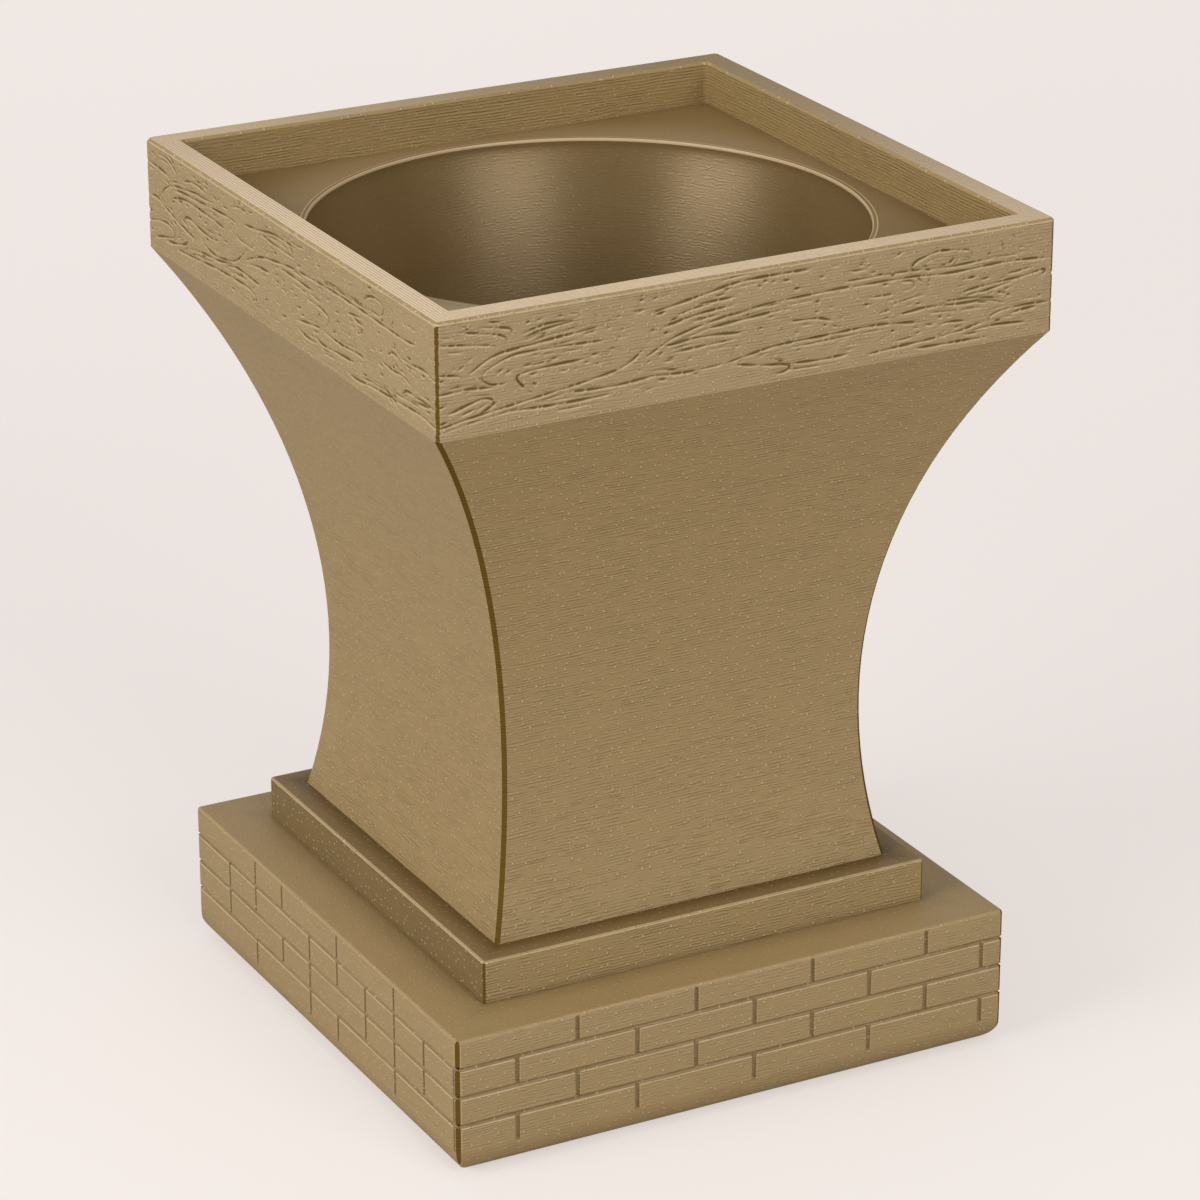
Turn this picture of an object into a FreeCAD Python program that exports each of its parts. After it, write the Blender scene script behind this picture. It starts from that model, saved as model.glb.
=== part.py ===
import FreeCAD, Part
import math
import os
import Sketcher

# Tulsi vrindavan planter, printed in storeys that stack on one another.
# Millimetres. +Z is up, and the origin is the middle of the base's underside.
# The front is the -Y face, and the left side is the -X face.

COURSES = 4

# Driving dimensions: name, value, meaning.
SIZES = [
    ("base_width", 112.8, "brick base across its flat faces"),
    ("base_height", 27.3, "brick base, underside to top"),
    ("base_bottom_round", 5.4, "round along the base's bottom edges"),
    ("base_top_chamfer", 0.6, "chamfer along the base's top edges"),
    ("base_corner_chamfer", 0.8, "chamfer of the base's upright corners"),
    ("lowest_course_height", 10.5, "lowest course of bricks, underside to bed joint"),
    ("brick_length", 24.0, "a whole brick with its joint"),
    ("joint_width", 0.7, "width of a mortar joint"),
    ("joint_depth", 0.5, "depth of a mortar joint"),
    ("corner_brick_lap", 1.3, "how far the side bond starts from the front corner"),
    ("plinth_width", 90.8, "plain step across its flat faces"),
    ("plinth_height", 8.2, "plain step"),
    ("plinth_chamfer", 0.4, "chamfer of the step's top edges and corners"),
    ("column_height", 104.7, "concave column between step and collar"),
    ("column_foot_width", 80.4, "column across its faces where it meets the step"),
    ("column_arc_radius", 129.5, "radius of the hollow of each column face"),
    ("column_wall", 2.6, "column wall, square to its face"),
    ("column_chamfer", 0.7, "chamfer of the column's curved corners"),
    ("floor_thickness", 6.5, "floor of the column"),
    ("flange_thickness", 4.0, "flange inside the column's top"),
    ("collar_width", 120.0, "parapet across its outer faces"),
    ("collar_height", 20.8, "parapet"),
    ("collar_wall", 5.2, "parapet wall, outer face to inner face"),
    ("collar_chamfer", 0.7, "chamfer of the parapet's upright corners"),
    ("rim_chamfer", 0.5, "chamfer of the parapet's top edges"),
    ("inner_corner_round", 1.0, "round in the parapet's inner corners"),
    ("ledge_thickness", 4.0, "ledge inside the parapet, which carries the shelf"),
    ("shelf_depth", 8.1, "from the parapet's top down to the shelf"),
    ("shelf_thickness", 3.0, "shelf plate"),
    ("mouth_margin", 4.4, "from the parapet's inner face to the pot's mouth"),
    ("mouth_chamfer", 0.4, "chamfer inside the pot's rim"),
    ("pot_wall", 1.2, "wall of the pot"),
    ("pot_gap", 0.6, "clearance of the pot to the column's wall"),
    ("pot_shoulder_drop", 3.7, "from the pot's rim down to where its taper starts"),
    ("pot_floor", 2.0, "floor of the pot"),
    ("pot_floor_chamfer", 2.0, "chamfer between the pot's wall and floor"),
    ("foot_ring_height", 1.6, "ring under the pot, which stands on the column's floor"),
    ("foot_ring_width", 5.0, "width of that ring"),
    ("pot_drain_radius", 4.0, "drain hole of the pot"),
    ("pot_lip_gap", 0.3, "clearance of the pot's rim in the shelf"),
    ("well_gap", 1.0, "clearance of the pot in the ledge and the flange"),
    ("plug_gap", 0.2, "clearance between a spigot and its socket"),
    ("column_spigot_width", 40.0, "square spigot under the column"),
    ("plinth_spigot_width", 48.0, "square spigot under the step"),
    ("spigot_height", 3.0, "height of both square spigots"),
    ("sleeve_bore_radius", 5.0, "bore of the drain sleeve"),
    ("sleeve_wall", 2.0, "wall of the drain sleeve"),
    ("sleeve_flange_width", 3.0, "how far the sleeve's flange reaches past its tube"),
    ("sleeve_flange_thickness", 1.5, "flange of the drain sleeve"),
    ("sleeve_gap", 0.1, "clearance of the sleeve in its holes"),
    ("sleeve_end_inset", 1.0, "how far the sleeve ends above the underside"),
    ("base_screw_spacing", 60.0, "spacing of the four screws in the base"),
    ("base_screw_radius", 1.95, "shank of a base screw"),
    ("base_screw_head_radius", 3.5, "head of a base screw"),
    ("base_screw_head_height", 4.0, "head of a base screw"),
    ("base_screw_seat", 9.9, "depth of the seat of a base screw's head"),
    ("base_socket_width", 3.0, "hexagon in a base screw's head, across flats"),
    ("base_insert_radius", 3.0, "threaded insert in the column's floor"),
    ("base_insert_cover", 1.0, "floor left over a base insert"),
    ("collar_screw_inset", 8.8, "from the parapet's inner face to a screw under the shelf"),
    ("collar_screw_radius", 1.45, "shank of a collar screw"),
    ("collar_screw_head_radius", 2.75, "head of a collar screw"),
    ("collar_screw_head_height", 2.0, "head of a collar screw"),
    ("collar_head_cover", 0.2, "how far a collar screw's head lies below the shelf"),
    ("collar_socket_width", 2.0, "hexagon in a collar screw's head, across flats"),
    ("collar_insert_radius", 2.3, "threaded insert in the column's plug"),
    ("collar_insert_length", 5.0, "threaded insert in the column's plug"),
    ("screw_end_gap", 1.1, "from a screw's tip to the far end of its insert"),
    ("thread_gap", 0.05, "gap between a screw and the bore of its insert"),
    ("screw_gap", 0.3, "clearance of a screw in the holes that it only passes"),
    ("overrun", 1.0, "how far a cut runs past the face that it opens"),
]

# Places worked out from the sizes: name, formula.
PLACES = [
    ("base_half", "sizes.base_width / 2"),
    ("base_top", "sizes.base_height"),
    ("course_pitch", f"(sizes.base_height - sizes.lowest_course_height) / {COURSES - 1}"),
    ("plinth_half", "sizes.plinth_width / 2"),
    ("plinth_top", "places.base_top + sizes.plinth_height"),
    ("column_top", "places.plinth_top + sizes.column_height"),
    ("collar_top", "places.column_top + sizes.collar_height"),
    ("collar_half", "sizes.collar_width / 2"),
    ("well_half", "places.collar_half - sizes.collar_wall"),
    ("mouth_radius", "places.well_half - sizes.mouth_margin"),
    ("shelf_top", "places.collar_top - sizes.shelf_depth"),
    ("shelf_bottom", "places.shelf_top - sizes.shelf_thickness"),
    ("ledge_bottom", "places.shelf_bottom - sizes.ledge_thickness"),
    ("flange_bottom", "places.column_top - sizes.flange_thickness"),
    ("floor_top", "places.plinth_top + sizes.floor_thickness"),
    # The hollow of a column face: an arc through the column's foot and its top edge.
    ("foot_half", "sizes.column_foot_width / 2"),
    ("flare", "places.collar_half - places.foot_half"),
    ("chord", "sqrt(places.flare ^ 2 + sizes.column_height ^ 2)"),
    ("chord_to_centre", "sqrt(sizes.column_arc_radius ^ 2 - (places.chord / 2) ^ 2)"),
    ("arc_x", "(places.foot_half + places.collar_half) / 2"
              " + sizes.column_height * places.chord_to_centre / places.chord"),
    ("arc_z", "(places.plinth_top + places.column_top) / 2"
              " - places.flare * places.chord_to_centre / places.chord"),
    # The same arc moved inwards: inside of the column's wall, outside and inside of the pot.
    ("core_arc_radius", "sizes.column_arc_radius + sizes.column_wall"),
    ("core_foot_half", "places.arc_x - sqrt(places.core_arc_radius ^ 2"
                       " - (places.floor_top - places.arc_z) ^ 2)"),
    ("core_top_half", "places.arc_x - sqrt(places.core_arc_radius ^ 2"
                      " - (places.flange_bottom - places.arc_z) ^ 2)"),
    ("pot_arc_radius", "places.core_arc_radius + sizes.pot_gap"),
    ("pot_inner_arc_radius", "places.pot_arc_radius + sizes.pot_wall"),
    ("pot_waist", "places.arc_x - places.pot_arc_radius"),
    ("pot_inner_waist", "places.arc_x - places.pot_inner_arc_radius"),
    ("pot_rim", "places.mouth_radius + sizes.pot_wall"),
    # The pot's taper is a straight line from its shoulder that touches its arc. A share of
    # the taper's height is how far it runs inwards. The knee is where it meets the waist.
    ("pot_shoulder", "places.shelf_top - sizes.pot_shoulder_drop"),
    ("shoulder_rise", "places.pot_shoulder - places.arc_z"),
    ("shoulder_reach", "places.arc_x - places.pot_rim"),
    ("shoulder_to_centre", "sqrt(places.shoulder_rise ^ 2 + places.shoulder_reach ^ 2)"),
    ("taper_share", "tan(asin(places.pot_arc_radius / places.shoulder_to_centre)"
                    " - atan(places.shoulder_reach / places.shoulder_rise))"),
    ("pot_knee", "places.pot_shoulder"
                 " - (places.pot_rim - places.pot_waist) / places.taper_share"),
    # Inside, the same taper runs a wall's thickness away, measured square to it.
    ("taper_setback", "sizes.pot_wall * (sqrt(1 + places.taper_share ^ 2) - 1)"
                      " / places.taper_share"),
    ("pot_inner_shoulder", "places.pot_shoulder + places.taper_setback"),
    ("pot_inner_knee", "places.pot_knee + places.taper_setback"),
    ("pot_floor_bottom", "places.floor_top + sizes.foot_ring_height"),
    ("pot_floor_top", "places.pot_floor_bottom + sizes.pot_floor"),
    ("foot_ring_inner", "places.pot_waist - sizes.foot_ring_width"),
    ("shelf_hole_radius", "places.pot_rim + sizes.pot_lip_gap"),
    ("well_reach", "places.pot_rim + sizes.well_gap"),
    ("sleeve_radius", "sizes.sleeve_bore_radius + sizes.sleeve_wall"),
    ("sleeve_flange_radius", "places.sleeve_radius + sizes.sleeve_flange_width"),
    ("sleeve_hole_radius", "places.sleeve_radius + sizes.sleeve_gap"),
    ("flange_hole_radius", "places.sleeve_flange_radius + sizes.sleeve_gap"),
    ("base_screw_x", "sizes.base_screw_spacing / 2"),
    ("collar_screw_x", "places.well_half - sizes.collar_screw_inset"),
    ("base_hole_radius", "sizes.base_screw_radius + sizes.screw_gap"),
    ("base_head_hole_radius", "sizes.base_screw_head_radius + sizes.screw_gap"),
    ("collar_hole_radius", "sizes.collar_screw_radius + sizes.screw_gap"),
    ("collar_head_hole_radius", "sizes.collar_screw_head_radius + sizes.screw_gap"),
    ("collar_seat_depth", "sizes.collar_screw_head_height + sizes.collar_head_cover"),
    ("collar_seat", "places.shelf_bottom - places.collar_seat_depth"),
    ("plug_half", "places.well_half - sizes.plug_gap"),
    ("plug_top", "places.ledge_bottom - sizes.plug_gap"),
    ("base_insert_length", "sizes.floor_thickness - sizes.base_insert_cover"),
    ("base_screw_tip", "places.plinth_top + places.base_insert_length - sizes.screw_end_gap"),
    ("collar_insert_bottom", "places.plug_top - sizes.collar_insert_length"),
    ("collar_screw_tip", "places.collar_insert_bottom + sizes.screw_end_gap"),
]

CORNERS = [(1, 1), (-1, 1), (-1, -1), (1, -1)]
COLLAR_SCREW_CORNERS = [(1, 1), (-1, -1)]

# Sides of the prisms that stand for the turned screws and inserts, and of a screw's socket.
TURNED_SIDES = 12
SOCKET_SIDES = 6

# Where the upright joints stand, in half bricks from the front left corner.
FRONT_JOINTS = [(2, 4, 6, 8), (1, 3, 5, 7, 9), (2, 4, 6, 8), (1, 3, 5, 7, 9)]
SIDE_JOINTS = [(2, 4, 6, 7), (0, 1, 2, 3, 4, 5, 7, 8), (0, 1, 2, 3, 5, 6, 8), (0, 2, 4, 5, 7)]

# Two places in the model closer than this are the same place.
SAME_PLACE = 1e-4

doc = FreeCAD.newDocument("planter")
subparts = []


def make_sheet(name, rows):
    """Write rows of name, content and an optional note into a sheet, with the names as aliases."""
    sheet = doc.addObject("Spreadsheet::Sheet", name)
    for number, row in enumerate(rows, start=1):
        sheet.set(f"A{number}", row[0])
        sheet.set(f"B{number}", str(row[1]))
        sheet.setAlias(f"B{number}", row[0])
        if len(row) > 2:
            sheet.set(f"C{number}", row[2])
    doc.recompute()
    return sheet


sizes = make_sheet("sizes", SIZES)
places = make_sheet("places", [(name, "=" + formula) for name, formula in PLACES])


def value(expression):
    """The number that an expression stands for now."""
    return float(places.evalExpression(expression))


def minus(expression):
    return f"-({expression})"


def keep(piece, label):
    """Name a finished sub-part, which is later written to its own file."""
    piece.Label = label
    subparts.append(piece)


def new_body(name):
    return doc.addObject("PartDesign::Body", name)


def origin_feature(body, role):
    return next(item for item in body.Origin.OriginFeatures if item.Role == role)


def new_sketch(body, name, plane, lift="0"):
    """An empty sketch on one of the body's own planes, lifted along the plane's normal."""
    sketch = body.newObject("Sketcher::SketchObject", name)
    sketch.AttachmentSupport = [(origin_feature(body, plane), "")]
    sketch.MapMode = "FlatFace"
    sketch.setExpression("AttachmentOffset.Base.z", lift)
    return sketch


def bind(sketch, kind, *arguments):
    """Add one dimension to a sketch; its last argument is the expression that drives it."""
    *where, expression = arguments
    index = sketch.addConstraint(Sketcher.Constraint(kind, *where, value(expression)))
    sketch.setExpression(f"Constraints[{index}]", expression)


def arc_between(start, end, radius, centre_side):
    """The short arc between two points, with its centre on the left (1) or right (-1) of the way."""
    way = end - start
    to_left = FreeCAD.Vector(-way.y, way.x, 0).normalize()
    rise = math.sqrt(radius ** 2 - (way.Length / 2) ** 2)
    centre = (start + end) / 2 + to_left * (centre_side * rise)
    first, last = (start, end) if centre_side > 0 else (end, start)
    circle = Part.Circle(centre, FreeCAD.Vector(0, 0, 1), radius)
    angles = [math.atan2(point.y - centre.y, point.x - centre.x) for point in (first, last)]
    if angles[1] < angles[0]:
        angles[1] += 2 * math.pi
    return Part.ArcOfCircle(circle, *angles)


def add_outline(sketch, corners):
    """Draw a closed outline. A corner is (x, y), and (x, y, radius, side) starts an arc there."""
    points = [FreeCAD.Vector(value(corner[0]), value(corner[1]), 0) for corner in corners]
    sides = []
    for index, corner in enumerate(corners):
        start = points[index]
        end = points[(index + 1) % len(points)]
        if len(corner) == 2:
            sides.append((sketch.addGeometry(Part.LineSegment(start, end)), 1, 2))
            continue
        radius, centre_side = corner[2:]
        arc = sketch.addGeometry(arc_between(start, end, value(radius), centre_side))
        sides.append((arc, 1, 2) if centre_side > 0 else (arc, 2, 1))
    for index, (side, first, _) in enumerate(sides):
        before, _, before_last = sides[index - 1]
        sketch.addConstraint(Sketcher.Constraint("Coincident", before, before_last, side, first))
        bind(sketch, "DistanceX", side, first, corners[index][0])
        bind(sketch, "DistanceY", side, first, corners[index][1])
        if len(corners[index]) > 2:
            bind(sketch, "Radius", side, corners[index][2])


def add_square(sketch, half):
    """Draw a square about the origin."""
    add_outline(sketch, [(minus(half), minus(half)), (half, minus(half)),
                         (half, half), (minus(half), half)])


def add_octagon(sketch, reach):
    """Draw an octagon about the origin, so far from it on every side."""
    corner = f"((sqrt(2) - 1) * {reach})"
    add_outline(sketch, [(reach, minus(corner)), (reach, corner),
                         (corner, reach), (minus(corner), reach),
                         (minus(reach), corner), (minus(reach), minus(corner)),
                         (minus(corner), minus(reach)), (corner, minus(reach))])


def add_circle(sketch, radius, x="0", y="0"):
    centre = FreeCAD.Vector(value(x), value(y), 0)
    circle = sketch.addGeometry(Part.Circle(centre, FreeCAD.Vector(0, 0, 1), value(radius)))
    bind(sketch, "DistanceX", circle, 3, x)
    bind(sketch, "DistanceY", circle, 3, y)
    bind(sketch, "Radius", circle, radius)


def pad(body, name, sketch, length, symmetric=False):
    feature = body.newObject("PartDesign::Pad", name)
    feature.Profile = sketch
    feature.SideType = "Symmetric" if symmetric else "One side"
    feature.setExpression("Length", length)
    doc.recompute()
    return feature


def pocket(body, name, sketch, length, symmetric=False, upward=False):
    """Cut a sketch's shape down from its plane, or up from it, and check that it cuts."""
    before = body.Shape.Volume
    feature = body.newObject("PartDesign::Pocket", name)
    feature.Profile = sketch
    feature.SideType = "Symmetric" if symmetric else "One side"
    feature.Reversed = upward
    feature.setExpression("Length", length)
    doc.recompute()
    if not body.Shape.Volume < before:
        raise RuntimeError(f"{name} cuts nothing")
    return feature


def square_pad(body, name, half, bottom, height):
    sketch = new_sketch(body, name + "_outline", "XY_Plane", bottom)
    add_square(sketch, half)
    return pad(body, name, sketch, height)


def square_pocket(body, name, half, level, depth, upward=False):
    sketch = new_sketch(body, name + "_outline", "XY_Plane", level)
    add_square(sketch, half)
    return pocket(body, name, sketch, depth, upward=upward)


def octagon_pocket(body, name, reach, level, depth):
    sketch = new_sketch(body, name + "_outline", "XY_Plane", level)
    add_octagon(sketch, reach)
    return pocket(body, name, sketch, depth)


def round_pocket(body, name, radius, level, depth):
    sketch = new_sketch(body, name + "_outline", "XY_Plane", level)
    add_circle(sketch, radius)
    return pocket(body, name, sketch, depth)


def corner_holes(body, name, radius, spacing_half, level, depth, corners=CORNERS, upward=False):
    """One hole in each of a square's corners, or in some of them."""
    sketch = new_sketch(body, name + "_outline", "XY_Plane", level)
    for side_x, side_y in corners:
        add_circle(sketch, radius, f"{side_x} * {spacing_half}", f"{side_y} * {spacing_half}")
    return pocket(body, name, sketch, depth, upward=upward)


def edge_names(feature, wanted):
    """The names of a feature's edges that pass a test."""
    return [f"Edge{number}" for number, edge in enumerate(feature.Shape.Edges, start=1)
            if wanted(edge)]


def dress(body, kind, name, size_name, size, wanted):
    """Add a fillet or a chamfer along the edges of the body's last feature that pass a test."""
    base = body.Tip
    feature = body.newObject("PartDesign::" + kind, name)
    feature.Base = (base, edge_names(base, wanted))
    feature.setExpression(size_name, size)
    doc.recompute()
    return feature


def fillet(body, name, radius, wanted):
    return dress(body, "Fillet", name, "Radius", radius, wanted)


def chamfer(body, name, size, wanted):
    return dress(body, "Chamfer", name, "Size", size, wanted)


def at_height(height):
    """A test for edges that lie flat at a height."""
    level = value(height)

    def wanted(edge):
        box = edge.BoundBox
        return abs(box.ZMin - level) < SAME_PLACE and abs(box.ZMax - level) < SAME_PLACE

    return wanted


def upright_at(half):
    """A test for straight upright edges at the corners of a square."""
    distance = value(half)

    def wanted(edge):
        box = edge.BoundBox
        flat = max(box.XLength, box.YLength) < SAME_PLACE < box.ZLength
        middle = box.Center
        return (flat and abs(abs(middle.x) - distance) < SAME_PLACE
                and abs(abs(middle.y) - distance) < SAME_PLACE)

    return wanted


def circle_at(radius, height):
    """A test for circles about the upright axis."""
    wanted_radius, level = value(radius), value(height)

    def wanted(edge):
        return (isinstance(edge.Curve, Part.Circle)
                and abs(edge.Curve.Radius - wanted_radius) < SAME_PLACE
                and abs(edge.Curve.Center.z - level) < SAME_PLACE)

    return wanted


def is_mitre(edge):
    """Whether an edge climbs along the diagonal between two faces of the column."""
    ends = [vertex.Point for vertex in edge.Vertexes]
    return (len(ends) == 2 and abs(ends[0].z - ends[1].z) > SAME_PLACE
            and all(abs(abs(end.x) - abs(end.y)) < SAME_PLACE for end in ends))


def cut_corners(body, name, half, leg, level, depth):
    """Chamfer the upright corners of a square block with four long triangles."""
    sketch = new_sketch(body, name + "_outline", "XY_Plane", level)
    outside = f"({half} + sizes.overrun)"
    inside = f"({half} - {leg} - sizes.overrun)"
    for side_x, side_y in CORNERS:
        add_outline(sketch, [(f"{side_x} * {outside}", f"{side_y} * {inside}"),
                             (f"{side_x} * {outside}", f"{side_y} * {outside}"),
                             (f"{side_x} * {inside}", f"{side_y} * {outside}")])
    pocket(body, name, sketch, depth)


def part_box(name, lengths, corner):
    """A plain box, from its three lengths and its lowest corner."""
    block = doc.addObject("Part::Box", name)
    for size_name, expression in zip(("Length", "Width", "Height"), lengths):
        block.setExpression(size_name, expression)
    for axis, expression in zip("xyz", corner):
        block.setExpression("Placement.Base." + axis, expression)
    return block


def upright_prism(name, sides, radius, height, place):
    """A prism that stands at a place, with its corners on a circle."""
    prism = doc.addObject("Part::Prism", name)
    prism.Polygon = sides
    prism.setExpression("Circumradius", radius)
    prism.setExpression("Height", height)
    for axis, expression in zip("xyz", place):
        prism.setExpression("Placement.Base." + axis, expression)
    return prism


def joined(kind, name, base, tool):
    """A fuse or a cut of two shapes."""
    result = doc.addObject("Part::" + kind, name)
    result.Base = base
    result.Tool = tool
    return result


def group(name, solids):
    """Separate solids kept as one sub-part."""
    compound = doc.addObject("Part::Compound", name)
    compound.Links = solids
    keep(compound, name)


def bed_joints(body):
    """The level mortar joints, which run round the base."""
    level = "sizes.lowest_course_height + sizes.joint_width / 2"
    sketch = new_sketch(body, "bed_joint_outline", "XY_Plane", level)
    add_square(sketch, "places.base_half + sizes.overrun")
    add_square(sketch, "places.base_half - sizes.joint_depth")
    joint = pocket(body, "bed_joint", sketch, "sizes.joint_width")
    pattern = body.newObject("PartDesign::LinearPattern", "bed_joints")
    pattern.Originals = [joint]
    pattern.Direction = (origin_feature(body, "Z_Axis"), [""])
    pattern.Mode = "Spacing"
    pattern.setExpression("Offset", "places.course_pitch")
    pattern.Occurrences = COURSES - 1
    body.Tip = pattern
    doc.recompute()


def course_span(course):
    """Where the upright joints of a course begin and end; course 0 is the top one."""
    top = f"places.base_top - {course} * places.course_pitch"
    bottom = f"places.base_top - {course + 1} * places.course_pitch"
    if course == 0:
        top = "places.base_top - sizes.base_top_chamfer"
    if course == COURSES - 1:
        bottom = "sizes.base_bottom_round"
    return bottom, top


def on_face(along):
    """Whether a joint so far from the face's first corner still lies on the face."""
    return value(along) < value("sizes.base_width - sizes.base_corner_chamfer")


def upright_joints():
    """The upright mortar joints. The back repeats the front, and the right side the left."""
    across = "sizes.joint_width"
    deep = "(sizes.joint_depth + sizes.overrun)"
    joints = []
    for course in range(COURSES):
        bottom, top = course_span(course)
        height = f"({top}) - ({bottom})"
        for turn in (1, -1):
            outward = "(places.base_half + (sizes.overrun - sizes.joint_depth) / 2)"
            face = f"{-turn} * {outward} - {deep} / 2"
            front = [f"{count} * sizes.brick_length / 2" for count in FRONT_JOINTS[course]]
            for along in filter(on_face, front):
                middle = f"{turn} * ({along} - places.base_half)"
                joints.append(part_box("front_joint", (across, deep, height),
                                       (f"{middle} - {across} / 2", face, bottom)))
            side = [f"{count} * sizes.brick_length / 2 + sizes.corner_brick_lap"
                    for count in SIDE_JOINTS[course]]
            for along in filter(on_face, side):
                middle = f"{turn} * ({along} - places.base_half)"
                joints.append(part_box("side_joint", (deep, across, height),
                                       (face, f"{middle} - {across} / 2", bottom)))
    fused = doc.addObject("Part::MultiFuse", "upright_joints")
    fused.Shapes = joints
    return fused


def make_brick_base():
    body = new_body("brick_block")
    square_pad(body, "base_block", "places.base_half", "0", "sizes.base_height")
    fillet(body, "base_round", "sizes.base_bottom_round", at_height("0"))
    chamfer(body, "base_top_edges", "sizes.base_top_chamfer", at_height("places.base_top"))
    cut_corners(body, "base_corners", "places.base_half", "sizes.base_corner_chamfer",
                "places.base_top", "sizes.base_height")
    square_pocket(body, "base_socket", "sizes.plinth_spigot_width / 2 + sizes.plug_gap",
                  "places.base_top", "sizes.spigot_height + sizes.plug_gap")
    round_pocket(body, "base_sleeve_hole", "places.sleeve_hole_radius",
                 "places.base_top", "sizes.base_height")
    corner_holes(body, "base_screw_holes", "places.base_hole_radius", "places.base_screw_x",
                 "places.base_top", "sizes.base_height")
    corner_holes(body, "base_screw_seats", "places.base_head_hole_radius",
                 "places.base_screw_x", "0", "sizes.base_screw_seat", upward=True)
    bed_joints(body)
    keep(joined("Cut", "brickwork", body, upright_joints()), "brick_base")


def make_step_plinth():
    body = new_body("plinth")
    square_pad(body, "plinth_block", "places.plinth_half", "places.base_top", "sizes.plinth_height")
    chamfer(body, "plinth_top_edges", "sizes.plinth_chamfer", at_height("places.plinth_top"))
    cut_corners(body, "plinth_corners", "places.plinth_half", "sizes.plinth_chamfer",
                "places.plinth_top", "sizes.plinth_height")
    square_pad(body, "plinth_spigot", "sizes.plinth_spigot_width / 2",
               "places.base_top - sizes.spigot_height", "sizes.spigot_height")
    square_pocket(body, "plinth_socket", "sizes.column_spigot_width / 2 + sizes.plug_gap",
                  "places.plinth_top", "sizes.spigot_height + sizes.plug_gap")
    through = "sizes.plinth_height + sizes.spigot_height"
    round_pocket(body, "plinth_sleeve_hole", "places.sleeve_hole_radius",
                 "places.plinth_top", through)
    corner_holes(body, "plinth_screw_holes", "places.base_hole_radius", "places.base_screw_x",
                 "places.plinth_top", through)
    keep(body, "step_plinth")


def concave_block(body, name, halves, levels, radius):
    """A square block whose four faces are hollow arcs that meet in mitred corners."""
    (foot, top), (low, high) = halves, levels
    length = "sizes.collar_width + 2 * sizes.overrun"
    beyond = "(places.collar_half + 2 * sizes.overrun)"
    front = new_sketch(body, name + "_front", "XZ_Plane")
    add_outline(front, [(minus(foot), low), (foot, low, radius, -1),
                        (top, high), (minus(top), high, radius, -1)])
    pad(body, name + "_block", front, length, symmetric=True)
    side = new_sketch(body, name + "_side", "YZ_Plane")
    add_outline(side, [(foot, low, radius, -1), (top, high), (beyond, high), (beyond, low)])
    add_outline(side, [(minus(top), high, radius, -1), (minus(foot), low),
                       (minus(beyond), low), (minus(beyond), high)])
    pocket(body, name + "_sides", side, length, symmetric=True)


def hollow_out(body, name, core):
    """Take one body's shape out of another."""
    hollow = body.newObject("PartDesign::Boolean", name)
    hollow.Type = "Cut"
    hollow.setObjects([core])
    doc.recompute()


def make_column_shell():
    core = new_body("column_core")
    concave_block(core, "core", ("places.core_foot_half", "places.core_top_half"),
                  ("places.floor_top", "places.flange_bottom"), "places.core_arc_radius")
    body = new_body("column")
    concave_block(body, "column", ("places.foot_half", "places.collar_half"),
                  ("places.plinth_top", "places.column_top"), "sizes.column_arc_radius")
    chamfer(body, "column_corners", "sizes.column_chamfer", is_mitre)
    hollow_out(body, "column_hollow", core)
    square_pad(body, "column_plug", "places.plug_half", "places.column_top",
               "places.plug_top - places.column_top")
    chamfer(body, "plug_corners", "sizes.inner_corner_round", upright_at("places.plug_half"))
    square_pad(body, "column_spigot", "sizes.column_spigot_width / 2",
               "places.plinth_top - sizes.spigot_height", "sizes.spigot_height")
    octagon_pocket(body, "column_well", "places.well_reach", "places.plug_top",
                   "places.plug_top - places.flange_bottom + sizes.overrun")
    round_pocket(body, "column_sleeve_hole", "places.sleeve_hole_radius", "places.floor_top",
                 "sizes.floor_thickness + sizes.spigot_height")
    round_pocket(body, "sleeve_flange_seat", "places.flange_hole_radius", "places.floor_top",
                 "sizes.sleeve_flange_thickness")
    corner_holes(body, "base_insert_holes", "sizes.base_insert_radius",
                 "places.base_screw_x", "places.plinth_top", "places.base_insert_length",
                 upward=True)
    corner_holes(body, "collar_insert_holes", "sizes.collar_insert_radius",
                 "places.collar_screw_x", "places.plug_top", "sizes.collar_insert_length",
                 COLLAR_SCREW_CORNERS)
    keep(body, "column_shell")


def make_collar_frame():
    body = new_body("collar")
    square_pad(body, "collar_block", "places.collar_half", "places.column_top",
               "sizes.collar_height")
    square_pocket(body, "tray", "places.well_half", "places.collar_top",
                  "sizes.shelf_depth + sizes.shelf_thickness")
    square_pocket(body, "plug_recess", "places.well_half", "places.column_top",
                  "places.ledge_bottom - places.column_top", upward=True)
    octagon_pocket(body, "collar_well", "places.well_reach", "places.shelf_bottom",
                   "sizes.ledge_thickness")
    corner_holes(body, "collar_screw_holes", "places.collar_hole_radius",
                 "places.collar_screw_x", "places.shelf_bottom", "sizes.ledge_thickness",
                 COLLAR_SCREW_CORNERS)
    corner_holes(body, "collar_screw_seats", "places.collar_head_hole_radius",
                 "places.collar_screw_x", "places.shelf_bottom", "places.collar_seat_depth",
                 COLLAR_SCREW_CORNERS)
    fillet(body, "inner_corners", "sizes.inner_corner_round", upright_at("places.well_half"))
    chamfer(body, "collar_corners", "sizes.collar_chamfer", upright_at("places.collar_half"))
    chamfer(body, "rim_edges", "sizes.rim_chamfer", at_height("places.collar_top"))
    keep(body, "collar_frame")


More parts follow.
